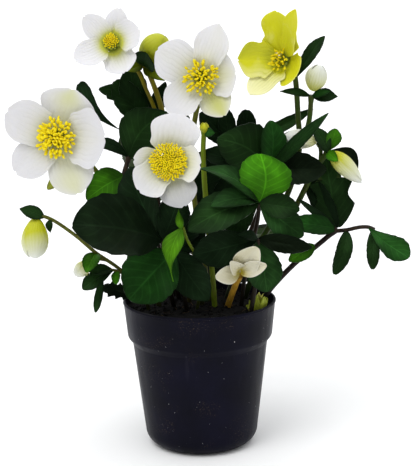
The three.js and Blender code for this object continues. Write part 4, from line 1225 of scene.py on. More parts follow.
def ball(sides: int, rings: int, place: Callable[[float, float, float], Vector]) -> Piece:
    """Shape a sphere into a closed body.

    Args:
        sides: Faces round it.
        rings: Faces along it.
        place: Gives a point in millimetres for how far along (0 to 1) it is, and for its two
            directions across, each from -1 to 1.

    Returns:
        The body.
    """
    deselect()
    bpy.ops.mesh.primitive_uv_sphere_add(segments=sides, ring_count=rings, radius=1.0)
    piece = bpy.context.object
    points = []
    for vertex in piece.data.vertices:
        x, y, z = vertex.co
        ring = math.hypot(x, y)
        along = math.acos(min(1.0, max(-1.0, -z))) / math.pi
        across, through = (x / ring, y / ring) if ring > 1e-6 else (0.0, 0.0)
        points.extend(c * MM for c in place(along, across, through))
    piece.data.vertices.foreach_set("co", points)
    mend(piece)
    return piece


def take_shape(piece: Piece) -> Shape:
    """Take the shape of a piece, and remove the piece.

    Args:
        piece: The piece.

    Returns:
        Its points and faces.
    """
    points = [v.co.copy() for v in piece.data.vertices]
    faces = [tuple(f.vertices) for f in piece.data.polygons]
    bpy.data.objects.remove(piece)
    return points, faces


@dataclass
class Swarm:
    """Many small copies of a few shapes, gathered in one mesh of their own."""

    points: list[Vector] = field(default_factory=list)
    faces: list[tuple[int, ...]] = field(default_factory=list)

    def add(self, shape: Shape, matrix: Matrix) -> None:
        """Add a copy of a shape, moved by a matrix in metres.

        Args:
            shape: The shape.
            matrix: Its turn, size and place, in metres.
        """
        start = len(self.points)
        points, faces = shape
        self.points.extend(matrix @ point for point in points)
        self.faces.extend(tuple(start + index for index in face) for face in faces)

    def thread(self, places: Sequence[Vector], radius: float, thin: float = 0.7, sides: int = 5) -> None:
        """Add a thin thread.

        Args:
            places: The places it runs through, in millimetres.
            radius: Its radius at the first of them.
            thin: Its radius at the last one, as a part of that.
            sides: Faces round it.
        """
        start = len(self.points)
        last = len(places) - 1
        for index, place in enumerate(places):
            along = (places[min(index + 1, last)] - places[max(index - 1, 0)]).normalized()
            side = along.orthogonal().normalized()
            other = along.cross(side)
            width = radius * (1 - (1 - thin) * index / last)
            for k in range(sides):
                turn = math.tau * k / sides
                self.points.append((place + (side * math.cos(turn) + other * math.sin(turn)) * width) * MM)
        for ring in range(last):
            for k in range(sides):
                a, b = start + ring * sides + k, start + ring * sides + (k + 1) % sides
                self.faces.append((a, b, b + sides, a + sides))
        self.faces.append(tuple(start + k for k in reversed(range(sides))))
        self.faces.append(tuple(start + last * sides + k for k in range(sides)))

    def build(self, name: str) -> Piece:
        """Make one piece of the copies.

        Args:
            name: The piece's name.

        Returns:
            The piece.
        """
        mesh = bpy.data.meshes.new(name)
        mesh.from_pydata([tuple(p) for p in self.points], [], self.faces)
        piece = stand(name, mesh)
        smooth(piece, 60.0)
        return piece


def settle(piece: Piece, slot: str, *nodes: str) -> None:
    """Let a piece ride on the plant, and stand for CAD nodes.

    Args:
        piece: The finished piece.
        slot: The record's material slot; not used.
        *nodes: The CAD nodes that it stands for.
    """
    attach(piece, "root")
    if nodes:
        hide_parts(*nodes)
    log.info("%s: %d faces", piece.name, len(piece.data.polygons))


def dress(piece: Piece, *materials: Material) -> None:
    """Give a piece these materials and no others.

    Args:
        piece: The piece.
        *materials: The materials.
    """
    piece.data.materials.clear()
    for material in materials:
        piece.data.materials.append(material)


# ---- the plant ----


class Wardrobe:
    """The plant's materials, each made once."""

    def __init__(self) -> None:
        """Make the materials."""
        self.white_sepal = SepalFinish("white sepal", 0xE0DFE3, 0xBFC24A, 0xCDCDCC).make()
        self.green_sepal = SepalFinish(
            "yellow green sepal", 0xE9E6B4, 0xCCCB10, 0x9AA62C, 13.0, 0.42, 0.45).make()
        self.bud = SepalFinish("bud sepal", 0xDCDED8, 0xBABC02, 0xB0B27C, 15.0, 0.42).make()
        self.opening = SepalFinish("opening sepal", 0xD6D4C8, 0xB2A42C, 0x9A8E66, 19.0, 0.75, 0.6).make()
        self.leaf = LeafFinish("leaf upper side", 0.0, 0.36).make()
        self.underleaf = LeafFinish("leaf underside", 0.12, 0.5).make()
        self.stalk = StalkFinish("stalk").make()
        self.anther = PowderFinish("anther", 0xF6E60A, 0xE2C804).make()
        self.filament = PowderFinish("filament", 0xD9CE20, 0x9C9A14, 700.0, 0.5).make()
        self.nectary = PowderFinish("nectary", 0xA6AE2A, 0x5F7418, 700.0, 0.4).make()
        self.carpel = PowderFinish("carpel", 0x9DAA3C, 0x5E7420, 600.0, 0.45).make()


@dataclass
class FlowerBuilder:
    """Builds one open flower: its sepals, stamens, nectaries and carpels."""

    bloom: Bloom
    wardrobe: Wardrobe
    seed: int
    columns: int = 20
    rows: int = 22
    thickness: float = 0.5
    ripple: float = 1.3  # height of the waves that all sepals share
    ripple_pace: float = 0.055  # how fast they change, per millimetre
    spread_apart: float = 1.3  # how much further apart the layers stand at the rim
    edge_curl: float = 0.8  # how far the foremost sepal's edges turn up
    claw_margin: float = 0.015  # part of the length left out at the claw
    tip_margin: float = 0.008  # part of the length left out at the tip
    notch: float = 0.4  # depth of the notch in a sepal's tip
    groove: float = 0.5  # depth of the groove down its middle
    waver: float = 0.02  # how far its edges waver, as a part of its width
    filament: float = 0.22  # radius of a filament
    nectary: float = 0.6  # radius of a nectary's foot
    carpel: float = 0.95  # radius of a carpel's foot
    nectary_count: int = 12
    carpel_count: int = 6

    def build(self) -> None:
        """Build the whole flower."""
        for index, sepal in enumerate(self.bloom.sepals):
            self.sepal(sepal, index)
        self.heart()

    def sepal(self, sepal: Sepal, index: int) -> None:
        """Build one sepal and let it stand for its node.

        Args:
            sepal: The sepal's plan.
            index: Its place among the flower's.
        """
        bloom = self.bloom
        origin, right, top, look = bloom.axes()
        turn = math.radians(sepal.direction)
        belly, usual_blunt = bloom.shape
        blunt = sepal.blunt or usual_blunt
        draw = random.Random(self.seed * 31 + index)
        phase, notch_at = draw.uniform(0, math.tau), draw.uniform(-0.6, 0.6)

        def spot(along: float, across: float) -> tuple[float, float, float]:
            """Lay the sepal out flat.

            Args:
                along: 0 to 1 along it.
                across: -1 to 1 across it.

            Returns:
                Millimetres to the flower's right and towards its top, and how far along the outline.
            """
            t = self.claw_margin + along * (1 - self.tip_margin - self.claw_margin)
            out = CLAW + (sepal.reach - CLAW) * t
            out -= self.notch * t ** 6 * math.cos((across - notch_at) * 3)
            wide = outline(t, belly, blunt) + bloom.shoulder * bell(t - 0.17, 0.15)
            half = min(sepal.width / 2 * wide, 1.5 * out)
            half *= 1 + self.waver * math.sin(11 * t + phase)
            x = out * math.cos(turn) + half * across * math.sin(turn)
            return x, out * math.sin(turn) - half * across * math.cos(turn), t

        def place(along: float, across: float) -> Vector:
            """Cup, curl and ripple it.

            Args:
                along: 0 to 1 along it.
                across: -1 to 1 across it.

            Returns:
                The point.
            """
            x, y, t = spot(along, across)
            radius = math.hypot(x, y)
            far = min(1.0, radius / CUP_REACH)
            wave = noise.noise(Vector((x * self.ripple_pace, y * self.ripple_pace, self.seed * 3.7)))
            layer = LAYER * sepal.layer * (1 + self.spread_apart * far ** 1.5)
            curl = self.edge_curl * (sepal.layer - 1) * across ** 4 * arch(min(t, 0.9))
            groove = self.groove * bell(across * 3) * arch(t)
            height = bloom.cup_height(x, y) + layer + curl - groove + self.ripple * wave * far
            return origin + right * x + top * y + look * height

        strength, where, aside, spread = sepal.blush
        depth, reach = bloom.halo

        def stain(along: float, across: float) -> float:
            """Stain it at the claw and where it blushes.

            Args:
                along: 0 to 1 along it.
                across: -1 to 1 across it.

            Returns:
                How much stain there is.
            """
            x, y, _ = spot(along, across)
            claw = depth * bell(math.hypot(x, y), reach)
            blush = strength * math.exp(-((along - where) ** 2 + (across - aside) ** 2 * 0.4) / spread ** 2)
            return max(claw, min(max(1.0, strength), claw + blush))

        piece = membrane(self.columns, self.rows, place, stain)
        # painted shade on the sepals that lie in shade
        paint(piece, "painted_shade", sepal.painted_shade)
        thicken(piece, self.thickness)
        smooth(piece)
        piece.name = f"{bloom.name.replace('flower', 'sepal')}_{index + 1}"
        dress(piece, self.wardrobe.green_sepal if bloom.green else self.wardrobe.white_sepal)
        settle(piece, bloom.slot, f"{bloom.name}_sepal_{index + 1}")

    def heart(self) -> None:
        """Build what stands inside the sepals: stamens, nectaries and carpels."""
        draw = random.Random(self.seed)
        wardrobe = self.wardrobe
        anthers, filaments = self.stamens(draw)
        for swarm, name, material, nodes in (
            (anthers, "anthers", wardrobe.anther, [f"{self.bloom.name}_stamens"]),
            (filaments, "filaments", wardrobe.filament, []),
            (self.nectaries(draw), "nectaries", wardrobe.nectary, []),
            (self.carpels(), "carpels", wardrobe.carpel, []),
        ):
            piece = swarm.build(self.bloom.name.replace("flower", name))
            dress(piece, material)
            settle(piece, "stamens", *nodes)

    def stamens(self, draw: random.Random) -> tuple[Swarm, Swarm]:
        """Place the stamens, each a golden angle on from the one before.

        Args:
            draw: Where chance comes from.

        Returns:
            The anthers, and the filaments that carry them.
        """
        bloom, matrix = self.bloom, self.bloom.matrix()
        radius, height = bloom.dome
        anther = take_shape(anther_body())
        anthers, filaments = Swarm(), Swarm()
        for k in range(bloom.anthers):
            share = (k + 0.5) / bloom.anthers
            turn = k * GOLDEN_ANGLE + draw.uniform(-0.5, 0.5) * bloom.spread
            out = radius * share ** 0.55 * (1 + draw.uniform(-0.35, 0.12) * bloom.spread)
            rise = KNOB_FRONT + height * (0.95 - 0.4 * share ** 2)
            rise += draw.uniform(-2.4, 0.6) * bloom.spread
            tip = spoke(turn, out, rise)
            foot = spoke(turn, 1.2 + 2.4 * share, KNOB_FRONT - 0.4)
            middle = foot.lerp(tip, 0.55) + Vector((0, 0, 0.9))
            filaments.thread([matrix @ p for p in (foot, middle, tip)], self.filament)
            lean = (tip - middle).normalized()
            jitter = Vector((draw.uniform(-1, 1), draw.uniform(-1, 1), 0.8)) * 0.3
            aim = (lean + spoke(turn) * share * 0.5 + jitter).normalized()
            roll = Matrix.Rotation(draw.uniform(0, 6.3), 4, "Z")
            spin = aim.to_track_quat("Z", "X").to_matrix().to_4x4() @ roll
            size = bloom.anther * draw.uniform(0.85, 1.2)
            local = Matrix.Translation(tip) @ spin @ Matrix.Diagonal((size, size, size, 1))
            anthers.add(anther, scaled(matrix @ local))
        return anthers, filaments

    def nectaries(self, draw: random.Random) -> Swarm:
        """Place the nectaries, small trumpets in a ring round the stamens' feet.

        Args:
            draw: Where chance comes from.

        Returns:
            The nectaries.
        """
        matrix, swarm = self.bloom.matrix(), Swarm()
        for k in range(self.nectary_count):
            ring = spoke(math.tau * k / self.nectary_count + draw.uniform(-0.1, 0.1))
            foot = ring * 2.8 + Vector((0, 0, 2.6))
            mouth = ring * draw.uniform(5.0, 5.8) + Vector((0, 0, 4.6))
            line = [foot, foot.lerp(mouth, 0.5) + ring * 0.4, mouth]
            swarm.thread([matrix @ p for p in line], self.nectary, 1.7, 6)
        return swarm

    def carpels(self) -> Swarm:
        """Place the carpels, which bulge and then bend outwards.

        Returns:
            The carpels.
        """
        matrix, swarm = self.bloom.matrix(), Swarm()
        height = self.bloom.dome[1]
        for k in range(self.carpel_count):
            ring = spoke(math.tau * k / self.carpel_count)
            line = [ring * out + Vector((0, 0, 4 + height * share))
                    for out, share in ((0.9, 0), (1.3, 0.4), (0.8, 0.75), (1.7, 1))]
            swarm.thread([matrix @ p for p in line], self.carpel, 0.3, 6)
        return swarm


def scaled(matrix: Matrix) -> Matrix:
    """Take a matrix from millimetres to metres, for a shape in metres.

    Args:
        matrix: The matrix in millimetres.

    Returns:
        The matrix in metres.
    """
    result = matrix.copy()
    result.translation = matrix.translation * MM
    return result


def anther_body() -> Piece:
    """Shape an anther: two lobes side by side, 3 mm long, with the origin near its middle.

    Returns:
        The anther.
    """
    def place(along: float, across: float, through: float) -> Vector:
        """Pinch an egg into two lobes.

        Args:
            along: 0 to 1 along it.
            across: -1 to 1 across it.
            through: -1 to 1 the other way across.

        Returns:
            The point.
        """
        fat = arch(along) ** 0.6
        lobe = 1 - 0.35 * bell(across * 3)
        return Vector((across * 0.95 * fat, through * 0.75 * fat * lobe, (along - 0.4) * 3.0))

    return ball(8, 6, place)


@dataclass
class GrowthBuilder:
    """Builds a scape or a compound leaf: its stalks, its bracts or leaflets, and a tip bud."""

    growth: Growth
    wardrobe: Wardrobe
    seed: int
    thickness: float = 0.6
    columns: int = 10
    rows: int = 36
    step: float = 3.0  # length of a stalk's facets
    slot: str = "stalks"
    stout: float = 1.06  # a stalk's thickness at its foot, as a part of its plan's
    taper: float = 0.14  # how much of it is lost on the way to its end
    thin: float = 1.7  # a stalk with a smaller radius doesn't swell at its end
    swelling: float = 1.25
    gloom_reach: float = 50.0  # height over which the painted shade at a stalk's foot fades
    narrow: float = 9.0  # a leaflet up to this width has a coarser mesh and no groove
    narrow_columns: int = 6
    narrow_rows: int = 20
    toothless: float = 0.3  # part of a leaflet's length without teeth, from its base

    def build(self) -> None:
        """Build the whole growth."""
        growth = self.growth
        stalks = [self.stem(plan, index == 0) for index, plan in enumerate(growth.stalks)]
        bloom = self.bloom()
        if bloom:
            stalks.append(self.receptacle(bloom))
        piece = gather(f"{growth.name}_stalk", stalks)
        smooth(piece)
        dress(piece, self.wardrobe.stalk)
        settle(piece, "stalks", growth.name)
        if growth.blades:
            blades = [self.blade(row, index) for index, row in enumerate(growth.blades)]
            settle(gather(f"{growth.name}_blades", blades), self.slot)
        if growth.tip_bud:
            plan = BudPlan(f"{growth.name}_tip", *growth.tip_bud)
            BudBuilder(plan, self.wardrobe, self.seed).build(False)

    def bloom(self) -> Bloom | None:
        """Return the flower that the growth carries, if it carries one."""
        return next((bloom for bloom in BLOOMS if bloom.name == self.growth.flower), None)

    @staticmethod
    def receptacle(bloom: Bloom) -> Piece:
        """Turn the knob that a flower's sepals and stamens stand on.

        Args:
            bloom: The flower.

        Returns:
            The knob, in its place.
        """
        knob = turned(KNOB_PROFILE, 20)
        knob.data.transform(scaled(bloom.matrix()))
        paint(knob, "tint", linear(Stem.RECEPTACLE.value))
        paint(knob, "shade", 1.0)
        return knob

    def stem(self, plan: Stalk, main: bool) -> Piece:
        """Build one stalk, rooted in the soil or starting on another one.

        Args:
            plan: The stalk's plan.
            main: Whether it is the one that may carry a flower.

        Returns:
            The stalk.
        """
        places = [Vector(p) for p in plan.places if len(p) == 3]
        if len(plan.places[0]) == 2:
            x, y = plan.places[0]
            places = [Vector((x, y, SOIL_EDGE - SOCKET_DEPTH)), Vector((x, y, SOIL_TOP - 2)), *places]
        bloom = self.bloom() if main else None
        if bloom:
            origin, _, _, look = bloom.axes()
            places += [origin - look * 10, origin - look * 3]
        length = sum((b - a).length for a, b in zip(places, places[1:]))
        steps = max(6, math.ceil(length / self.step))
        points = curve_through(places, steps)
        radii = [plan.radius * (self.stout - self.taper * k / steps) for k in range(steps + 1)]
        swell = 1.0 if bloom or plan.radius < self.thin else self.swelling
        radii[-2:] = [plan.radius * (1 + (swell - 1) * 0.6), plan.radius * swell]
        piece = tube(points, radii)
        paint(piece, "tint", linear(self.growth.stem.value))
        # painted shade: darkest at the soil, fading upwards
        heights = [vertex.co.z / MM - SOIL_TOP for vertex in piece.data.vertices]
        fades = [math.exp(-max(0.0, height) / self.gloom_reach) for height in heights]
        paint(piece, "shade", [1 - self.growth.gloom * fade for fade in fades])
        return piece

    def blade(self, row: Leaflet, index: int) -> Piece:
        """Build one leaflet or bract.

        Args:
            row: The leaflet's plan.
            index: Its place among the growth's.

        Returns:
            The leaflet.
        """
        start = row.base or self.growth.stalks[row.stalk].places[-1]
        base, ahead, side, up, length = sheet_axes(start, row.tip, row.face or self.growth.face)
        draw = random.Random(self.seed * 97 + index)
        phase, twist = draw.uniform(0, math.tau), draw.uniform(-0.12, 0.12)
        sway = row.sway + draw.uniform(-0.015, 0.015)
        teeth = row.teeth or self.growth.teeth
        big = row.width > self.narrow

        def place(along: float, across: float) -> Vector:
            """Bow, cup and tooth it.

            Args:
                along: 0 to 1 along it.
                across: -1 to 1 across it.

            Returns:
                The point.
            """
            t = 0.012 + along * 0.985
            half = row.width / 2 * outline(t, row.belly, row.blunt)
            edge = abs(across)
            toothed = t - self.toothless
            if teeth and toothed > 0:
                saw = toothed / (1 - self.toothless) * teeth % 1.0
                half *= 1 - row.jag * edge ** 3 * (1 - saw) * min(1.0, toothed * 6)
            rise = 4 * row.bow * length * t * (1 - t) + CURL * half * across * across
            rise += 0.1 * half * edge * arch(t)
            rise += 0.035 * row.width * edge ** 2 * math.sin(9 * t + phase + across)
            if big:
                rise -= 0.6 * bell(across * half, 1.1) * arch(min(1, t * 1.1))
            rise += twist * half * across * t
            drift = sway * length * arch(t)
            return base + ahead * (length * t) + side * (half * across + drift) + up * rise

        columns = self.columns if big else self.narrow_columns
        rows = self.rows if big else self.narrow_rows
        piece = membrane(columns, rows, place)
        paint(piece, "tint", linear((row.green or self.growth.green).value))
        dress(piece, self.wardrobe.leaf, self.wardrobe.underleaf)
        thicken(piece, self.thickness, True)
        smooth(piece)
        return piece


@dataclass
class BudBuilder:
    """Builds a bud: an egg wrapped in overlapping sepals, and loose ones on an opening bud."""

    plan: BudPlan
    wardrobe: Wardrobe
    seed: int
    wraps: int = 3
    span: float = 1.35  # half the angle that a wrapping sepal takes, in radians
    core: float = 0.93  # radius of the egg inside, as a part of the bud's
    thickness: float = 0.4

    def build(self, node: bool = True) -> None:
        """Build the bud.

        Args:
            node: Whether it stands for the node of its name.
        """
        plan = self.plan
        base, ahead, side, up, length = self.axes()

        def place(along: float, across: float, through: float) -> Vector:
            """Shape the egg inside.

            Args:
                along: 0 to 1 along it.
                across: -1 to 1 across it.
                through: -1 to 1 the other way across.

            Returns:
                The point.
            """
            out = self.radius(along) * self.core
            return base + ahead * (length * along) + (side * across + up * through) * out

        pieces = [ball(16, 12, place)]
        heights = [(vertex.co / MM - base).dot(ahead) / length for vertex in pieces[0].data.vertices]
        paint(pieces[0], "stain", [self.stain(height, 0.0) for height in heights])
        pieces += [self.wrap(index) for index in range(self.wraps)]
        pieces += [self.loose(row, index) for index, row in enumerate(plan.loose)]
        piece = gather(plan.name + "_sepals", pieces)
        smooth(piece)
        dress(piece, self.wardrobe.opening if plan.loose else self.wardrobe.bud)
        settle(piece, "buds", *([plan.name] if node else []))

    def axes(self) -> tuple[Vector, Vector, Vector, Vector, float]:
        """Work out the bud's own directions.

        Returns:
            Its base, its way along, its two directions across, and its length.
        """
        base = Vector(self.plan.base)
        reach = Vector(self.plan.tip) - base
        ahead = reach.normalized()
        up = Vector((ahead.y, -ahead.x, 0)).normalized()
        return base, ahead, ahead.cross(up), up, reach.length

    def radius(self, along: float) -> float:
        """Return the bud's radius this far along it, from 0 to 1."""
        return self.plan.width / 2 * outline(along, *self.plan.shape)

    def wrap(self, index: int) -> Piece:
        """Build one sepal wrapped round the bud.

        Args:
            index: Which one.

        Returns:
            The sepal.
        """
        base, ahead, side, up, length = self.axes()
        centre = math.tau * index / self.wraps + self.seed
        lift = 0.25 + 0.3 * index
        lean = 0.45 if index % 2 else -0.45

        def place(along: float, across: float) -> Vector:
            """Wrap it round the egg.

            Args:
                along: 0 to 1 along it.
                across: -1 to 1 across it.

            Returns:
                The point.
            """
            t = 0.02 + along * 0.95
            half = self.span * outline(0.12 + t * 0.88, 0.5, 0.5)
            turn = centre + half * across
            out = self.radius(t) + lift + lean * across * arch(t)
            out += 0.35 * bell(across * 2.5) * arch(t)
            return base + ahead * (length * t) + (side * math.cos(turn) + up * math.sin(turn)) * out

        piece = membrane(14, 14, place, self.stain)
        thicken(piece, self.thickness)
        return piece

    def stain(self, along: float, across: float) -> float:
        """Stain a closed bud, most at its base and less towards its tip.

        Args:
            along: 0 to 1 along it.
            across: -1 to 1 across it.

        Returns:
            How much stain there is.
        """
        greening = self.plan.greening
        paling = min(1.0, max(0.0, 3.5 - 2.8 * greening))
        edge = greening * (0.8 + 0.35 * abs(across) ** 3) * (1 - paling * along ** 2)
        return min(max(1.0, greening), edge + 0.5 * bell(along, 0.4))

    def loose(self, row: Leaflet, index: int) -> Piece:
        """Build one loose sepal of an opening bud.

        Args:
            row: The sepal's plan.
            index: Its place among the bud's.

        Returns:
            The sepal.
        """
        base, ahead, side, up, length = sheet_axes(row.base, row.tip, self.plan.face)
        draw = random.Random(self.seed * 13 + index)
        phase = draw.uniform(0, math.tau)

        def place(along: float, across: float) -> Vector:
            """Cup and crumple it.

            Args:
                along: 0 to 1 along it.
                across: -1 to 1 across it.

            Returns:
                The point.
            """
            t = 0.02 + along * 0.965
            half = row.width / 2 * outline(t, row.belly, row.blunt)
            rise = 4 * row.bow * length * t * (1 - t) + (CURL + 0.3) * half * across * across
            rise += 0.5 * math.sin(7 * t + phase) * across * across
            rise += 0.22 * math.sin(15 * across + 5 * t + phase) * arch(t)
            return base + ahead * (length * t) + side * (half * across) + up * rise

        piece = membrane(14, 18, place, self.loose_stain)
        thicken(piece, self.thickness)
        return piece

    @staticmethod
    def loose_stain(along: float, across: float) -> float:
        """Return the stain of a loose sepal, strongest at its base and least along its edges."""
        return 0.2 + 0.6 * bell(along, 0.35) - 0.1 * across ** 4


@dataclass
class ShootCrown:
    """The crown at the soil's surface: rootstock with young folded shoots on it."""

    wardrobe: Wardrobe
    centre: Place = (45, -18, 111)
    radius: float = 8
    depth: float = 6
    folds: int = 3  # folded leaves to a shoot
    # For each shoot: how far its tip is to the right of the centre and behind it, its height and its width.
    shoots: tuple[tuple[float, float, float, float], ...] = (
        (-4, -4, 12, 6), (2, -5, 17, 7), (6, -1, 15, 6), (-1, 3, 13, 7), (-6, 1, 8, 5))

    def build(self) -> None:
        """Build the crown."""
        middle = Vector(self.centre)

        def place(along: float, across: float, through: float) -> Vector:
            """Shape the lumpy rootstock.

            Args:
                along: 0 to 1 along it.
                across: -1 to 1 across it.
                through: -1 to 1 the other way across.

            Returns:
                The point.
            """
            lump = 1 + 0.12 * noise.noise(Vector((across * 2, through * 2, along * 5)))
            out = self.radius * arch(along) * lump
            drop = self.depth * math.cos(math.pi * along) * lump
            return middle + Vector((across * out, through * out, -drop))

        pieces = [ball(24, 14, place)]
        paint(pieces[0], "tint", linear(Stem.ROOTSTOCK.value))
        paint(pieces[0], "shade", 1.0)
        for index, (dx, dy, height, width) in enumerate(self.shoots):
            foot = middle + Vector((dx * 0.5, dy * 0.5, 2))
            tip = middle + Vector((dx, dy, height))
            pieces += [self.fold(foot, tip, width, fold, index) for fold in range(self.folds)]
        piece = gather("crown_shoots_folds", pieces)
        smooth(piece)
        dress(piece, self.wardrobe.stalk)
        settle(piece, "shoots", "crown_shoots")

    def fold(self, foot: Vector, tip: Vector, width: float, fold: int, index: int) -> Piece:
        """Build one folded young leaf of a shoot.

        Args:
            foot: Where the shoot starts.
            tip: Where it ends.
            width: Its width.
            fold: Which of its leaves it is.
            index: Which shoot.

        Returns:
            The leaf.
        """
        axis = tip - foot
        length = axis.length * (1 - 0.12 * fold)
        axis.normalize()
        side = axis.orthogonal().normalized()
        other = axis.cross(side)
        centre = math.tau * fold / self.folds + index

        def place(along: float, across: float) -> Vector:
            """Roll it round the shoot.

            Args:
                along: 0 to 1 along it.
                across: -1 to 1 across it.

            Returns:
                The point.
            """
            t = 0.02 + along * 0.96
            half = 1.25 * outline(0.2 + 0.8 * t, 0.5, 0.7)
            turn = centre + half * across
            out = width / 2 * outline(t * 0.9 + 0.08, 0.4, 0.7) + 0.35 * fold + 1.2 * t ** 3 * fold
            return foot + axis * (length * t) + (side * math.cos(turn) + other * math.sin(turn)) * out

        piece = membrane(10, 12, place)
        paint(piece, "tint", linear((Stem.INNER_SHOOT if fold else Stem.OUTER_SHOOT).value))
        paint(piece, "shade", 1.0)
        thicken(piece, 0.5)
        return piece


# ---- pot and soil ----


@dataclass
class NurseryPot:
    """A round nursery pot: tapered wall, collar with a bead, rounded foot and drain holes."""

    rim_radius: float = 61
    height: float = 118
    collar_radius: float = 57.8
    collar_bottom: float = 90
    body_top_radius: float = 54
    body_top: float = 85
    foot_radius: float = 45.4
    corner: float = 13
    wall: float = 1.6
    floor: float = 2
    lip: float = 0.6
    lip_height: float = 2.4
    ease: float = 0.8  # height over which the collar's lower edge is eased
    drain_count: int = 8
    drain_ring: float = 24
    drain_radius: float = 3.2
    sides: int = 128
    corner_steps: int = 12
    lip_steps: int = 6

    def collar_at(self, level: float) -> float:
        """Return the collar's outer radius at a height."""
        slope = (self.rim_radius - self.lip - self.collar_radius) / (self.height - self.collar_bottom)
        return self.collar_radius + slope * (level - self.collar_bottom)

    def outside(self) -> list[tuple[float, float]]:
        """Lay out the outside.

        Returns:
            Its profile, from the base to the rim.
        """
        body, collar = self.body_top_radius, self.collar_radius
        flat = self.foot_radius - self.corner
        rings = [(flat * 0.35, 0.0), (flat, 0.0)]
        for step in range(1, self.corner_steps + 1):
            turn = step / self.corner_steps * math.pi / 2
            out = self.foot_radius - self.corner * (1 - math.sin(turn))
            rings.append((out, self.corner * (1 - math.cos(turn))))
        rings += between((self.foot_radius, self.corner), (body, self.body_top), (0.25, 0.5, 0.75))
        rings += [
            (body - 0.1, self.body_top - self.ease), (body + 0.15, self.body_top),
            (collar - 0.5, self.collar_bottom - 0.9), (collar - 0.1, self.collar_bottom),
            (collar + 0.12, self.collar_bottom + self.ease),
        ]
        bead_foot = self.height - self.lip_height
        top = self.rim_radius - self.lip
        rings += between((collar, self.collar_bottom), (top, bead_foot), (0.35, 0.7))
        rings += [(top, bead_foot - 0.3), (top + 0.1, bead_foot)]
        for step in range(self.lip_steps + 1):
            turn = step / self.lip_steps * math.pi
            rise = 0.4 + (self.lip_height - 0.6) * (1 - math.cos(turn)) / 2
            rings.append((top + self.lip * math.sin(turn), bead_foot + rise))
        return rings + [(top - 0.4, self.height)]

    def inside(self) -> list[tuple[float, float]]:
        """Lay out the cavity.

        Returns:
            Its profile, from the rim down to the floor's middle.
        """
        mouth = self.collar_at(self.height) - self.wall
        foot = self.foot_radius - self.wall
        return [
            (mouth + 0.3, self.height), (mouth, self.height - 0.4),
            (self.collar_radius - self.wall, self.collar_bottom + 1),
            (self.body_top_radius - self.wall, self.body_top + 1),
            (foot, self.floor + self.corner * 0.8),
            (foot - self.corner * 0.3, self.floor + self.corner * 0.2),
            (self.foot_radius - self.corner, self.floor), (2.0, self.floor),
        ]

    def build(self, finish: Material) -> None:
        """Build the pot.

        Args:
            finish: Its material.
        """
        piece = turned(self.outside() + self.inside(), self.sides)
        drills = []
        for k in range(self.drain_count):
            deselect()
            bpy.ops.mesh.primitive_cylinder_add(
                vertices=24, radius=self.drain_radius * MM, depth=self.floor * 4 * MM,
                location=spoke(math.tau * k / self.drain_count, self.drain_ring) * MM)
            bpy.ops.object.transform_apply(location=True, rotation=False, scale=False)
            drills.append(bpy.context.object)
        drill = gather("drill", drills)
        apply(piece, "BOOLEAN", operation="DIFFERENCE", object=drill, solver="EXACT")
        bpy.data.objects.remove(drill)
        piece.name = "nursery_pot_shell"
        smooth(piece, 28.0)
        dress(piece, finish)
        settle(piece, "pot", "nursery_pot")


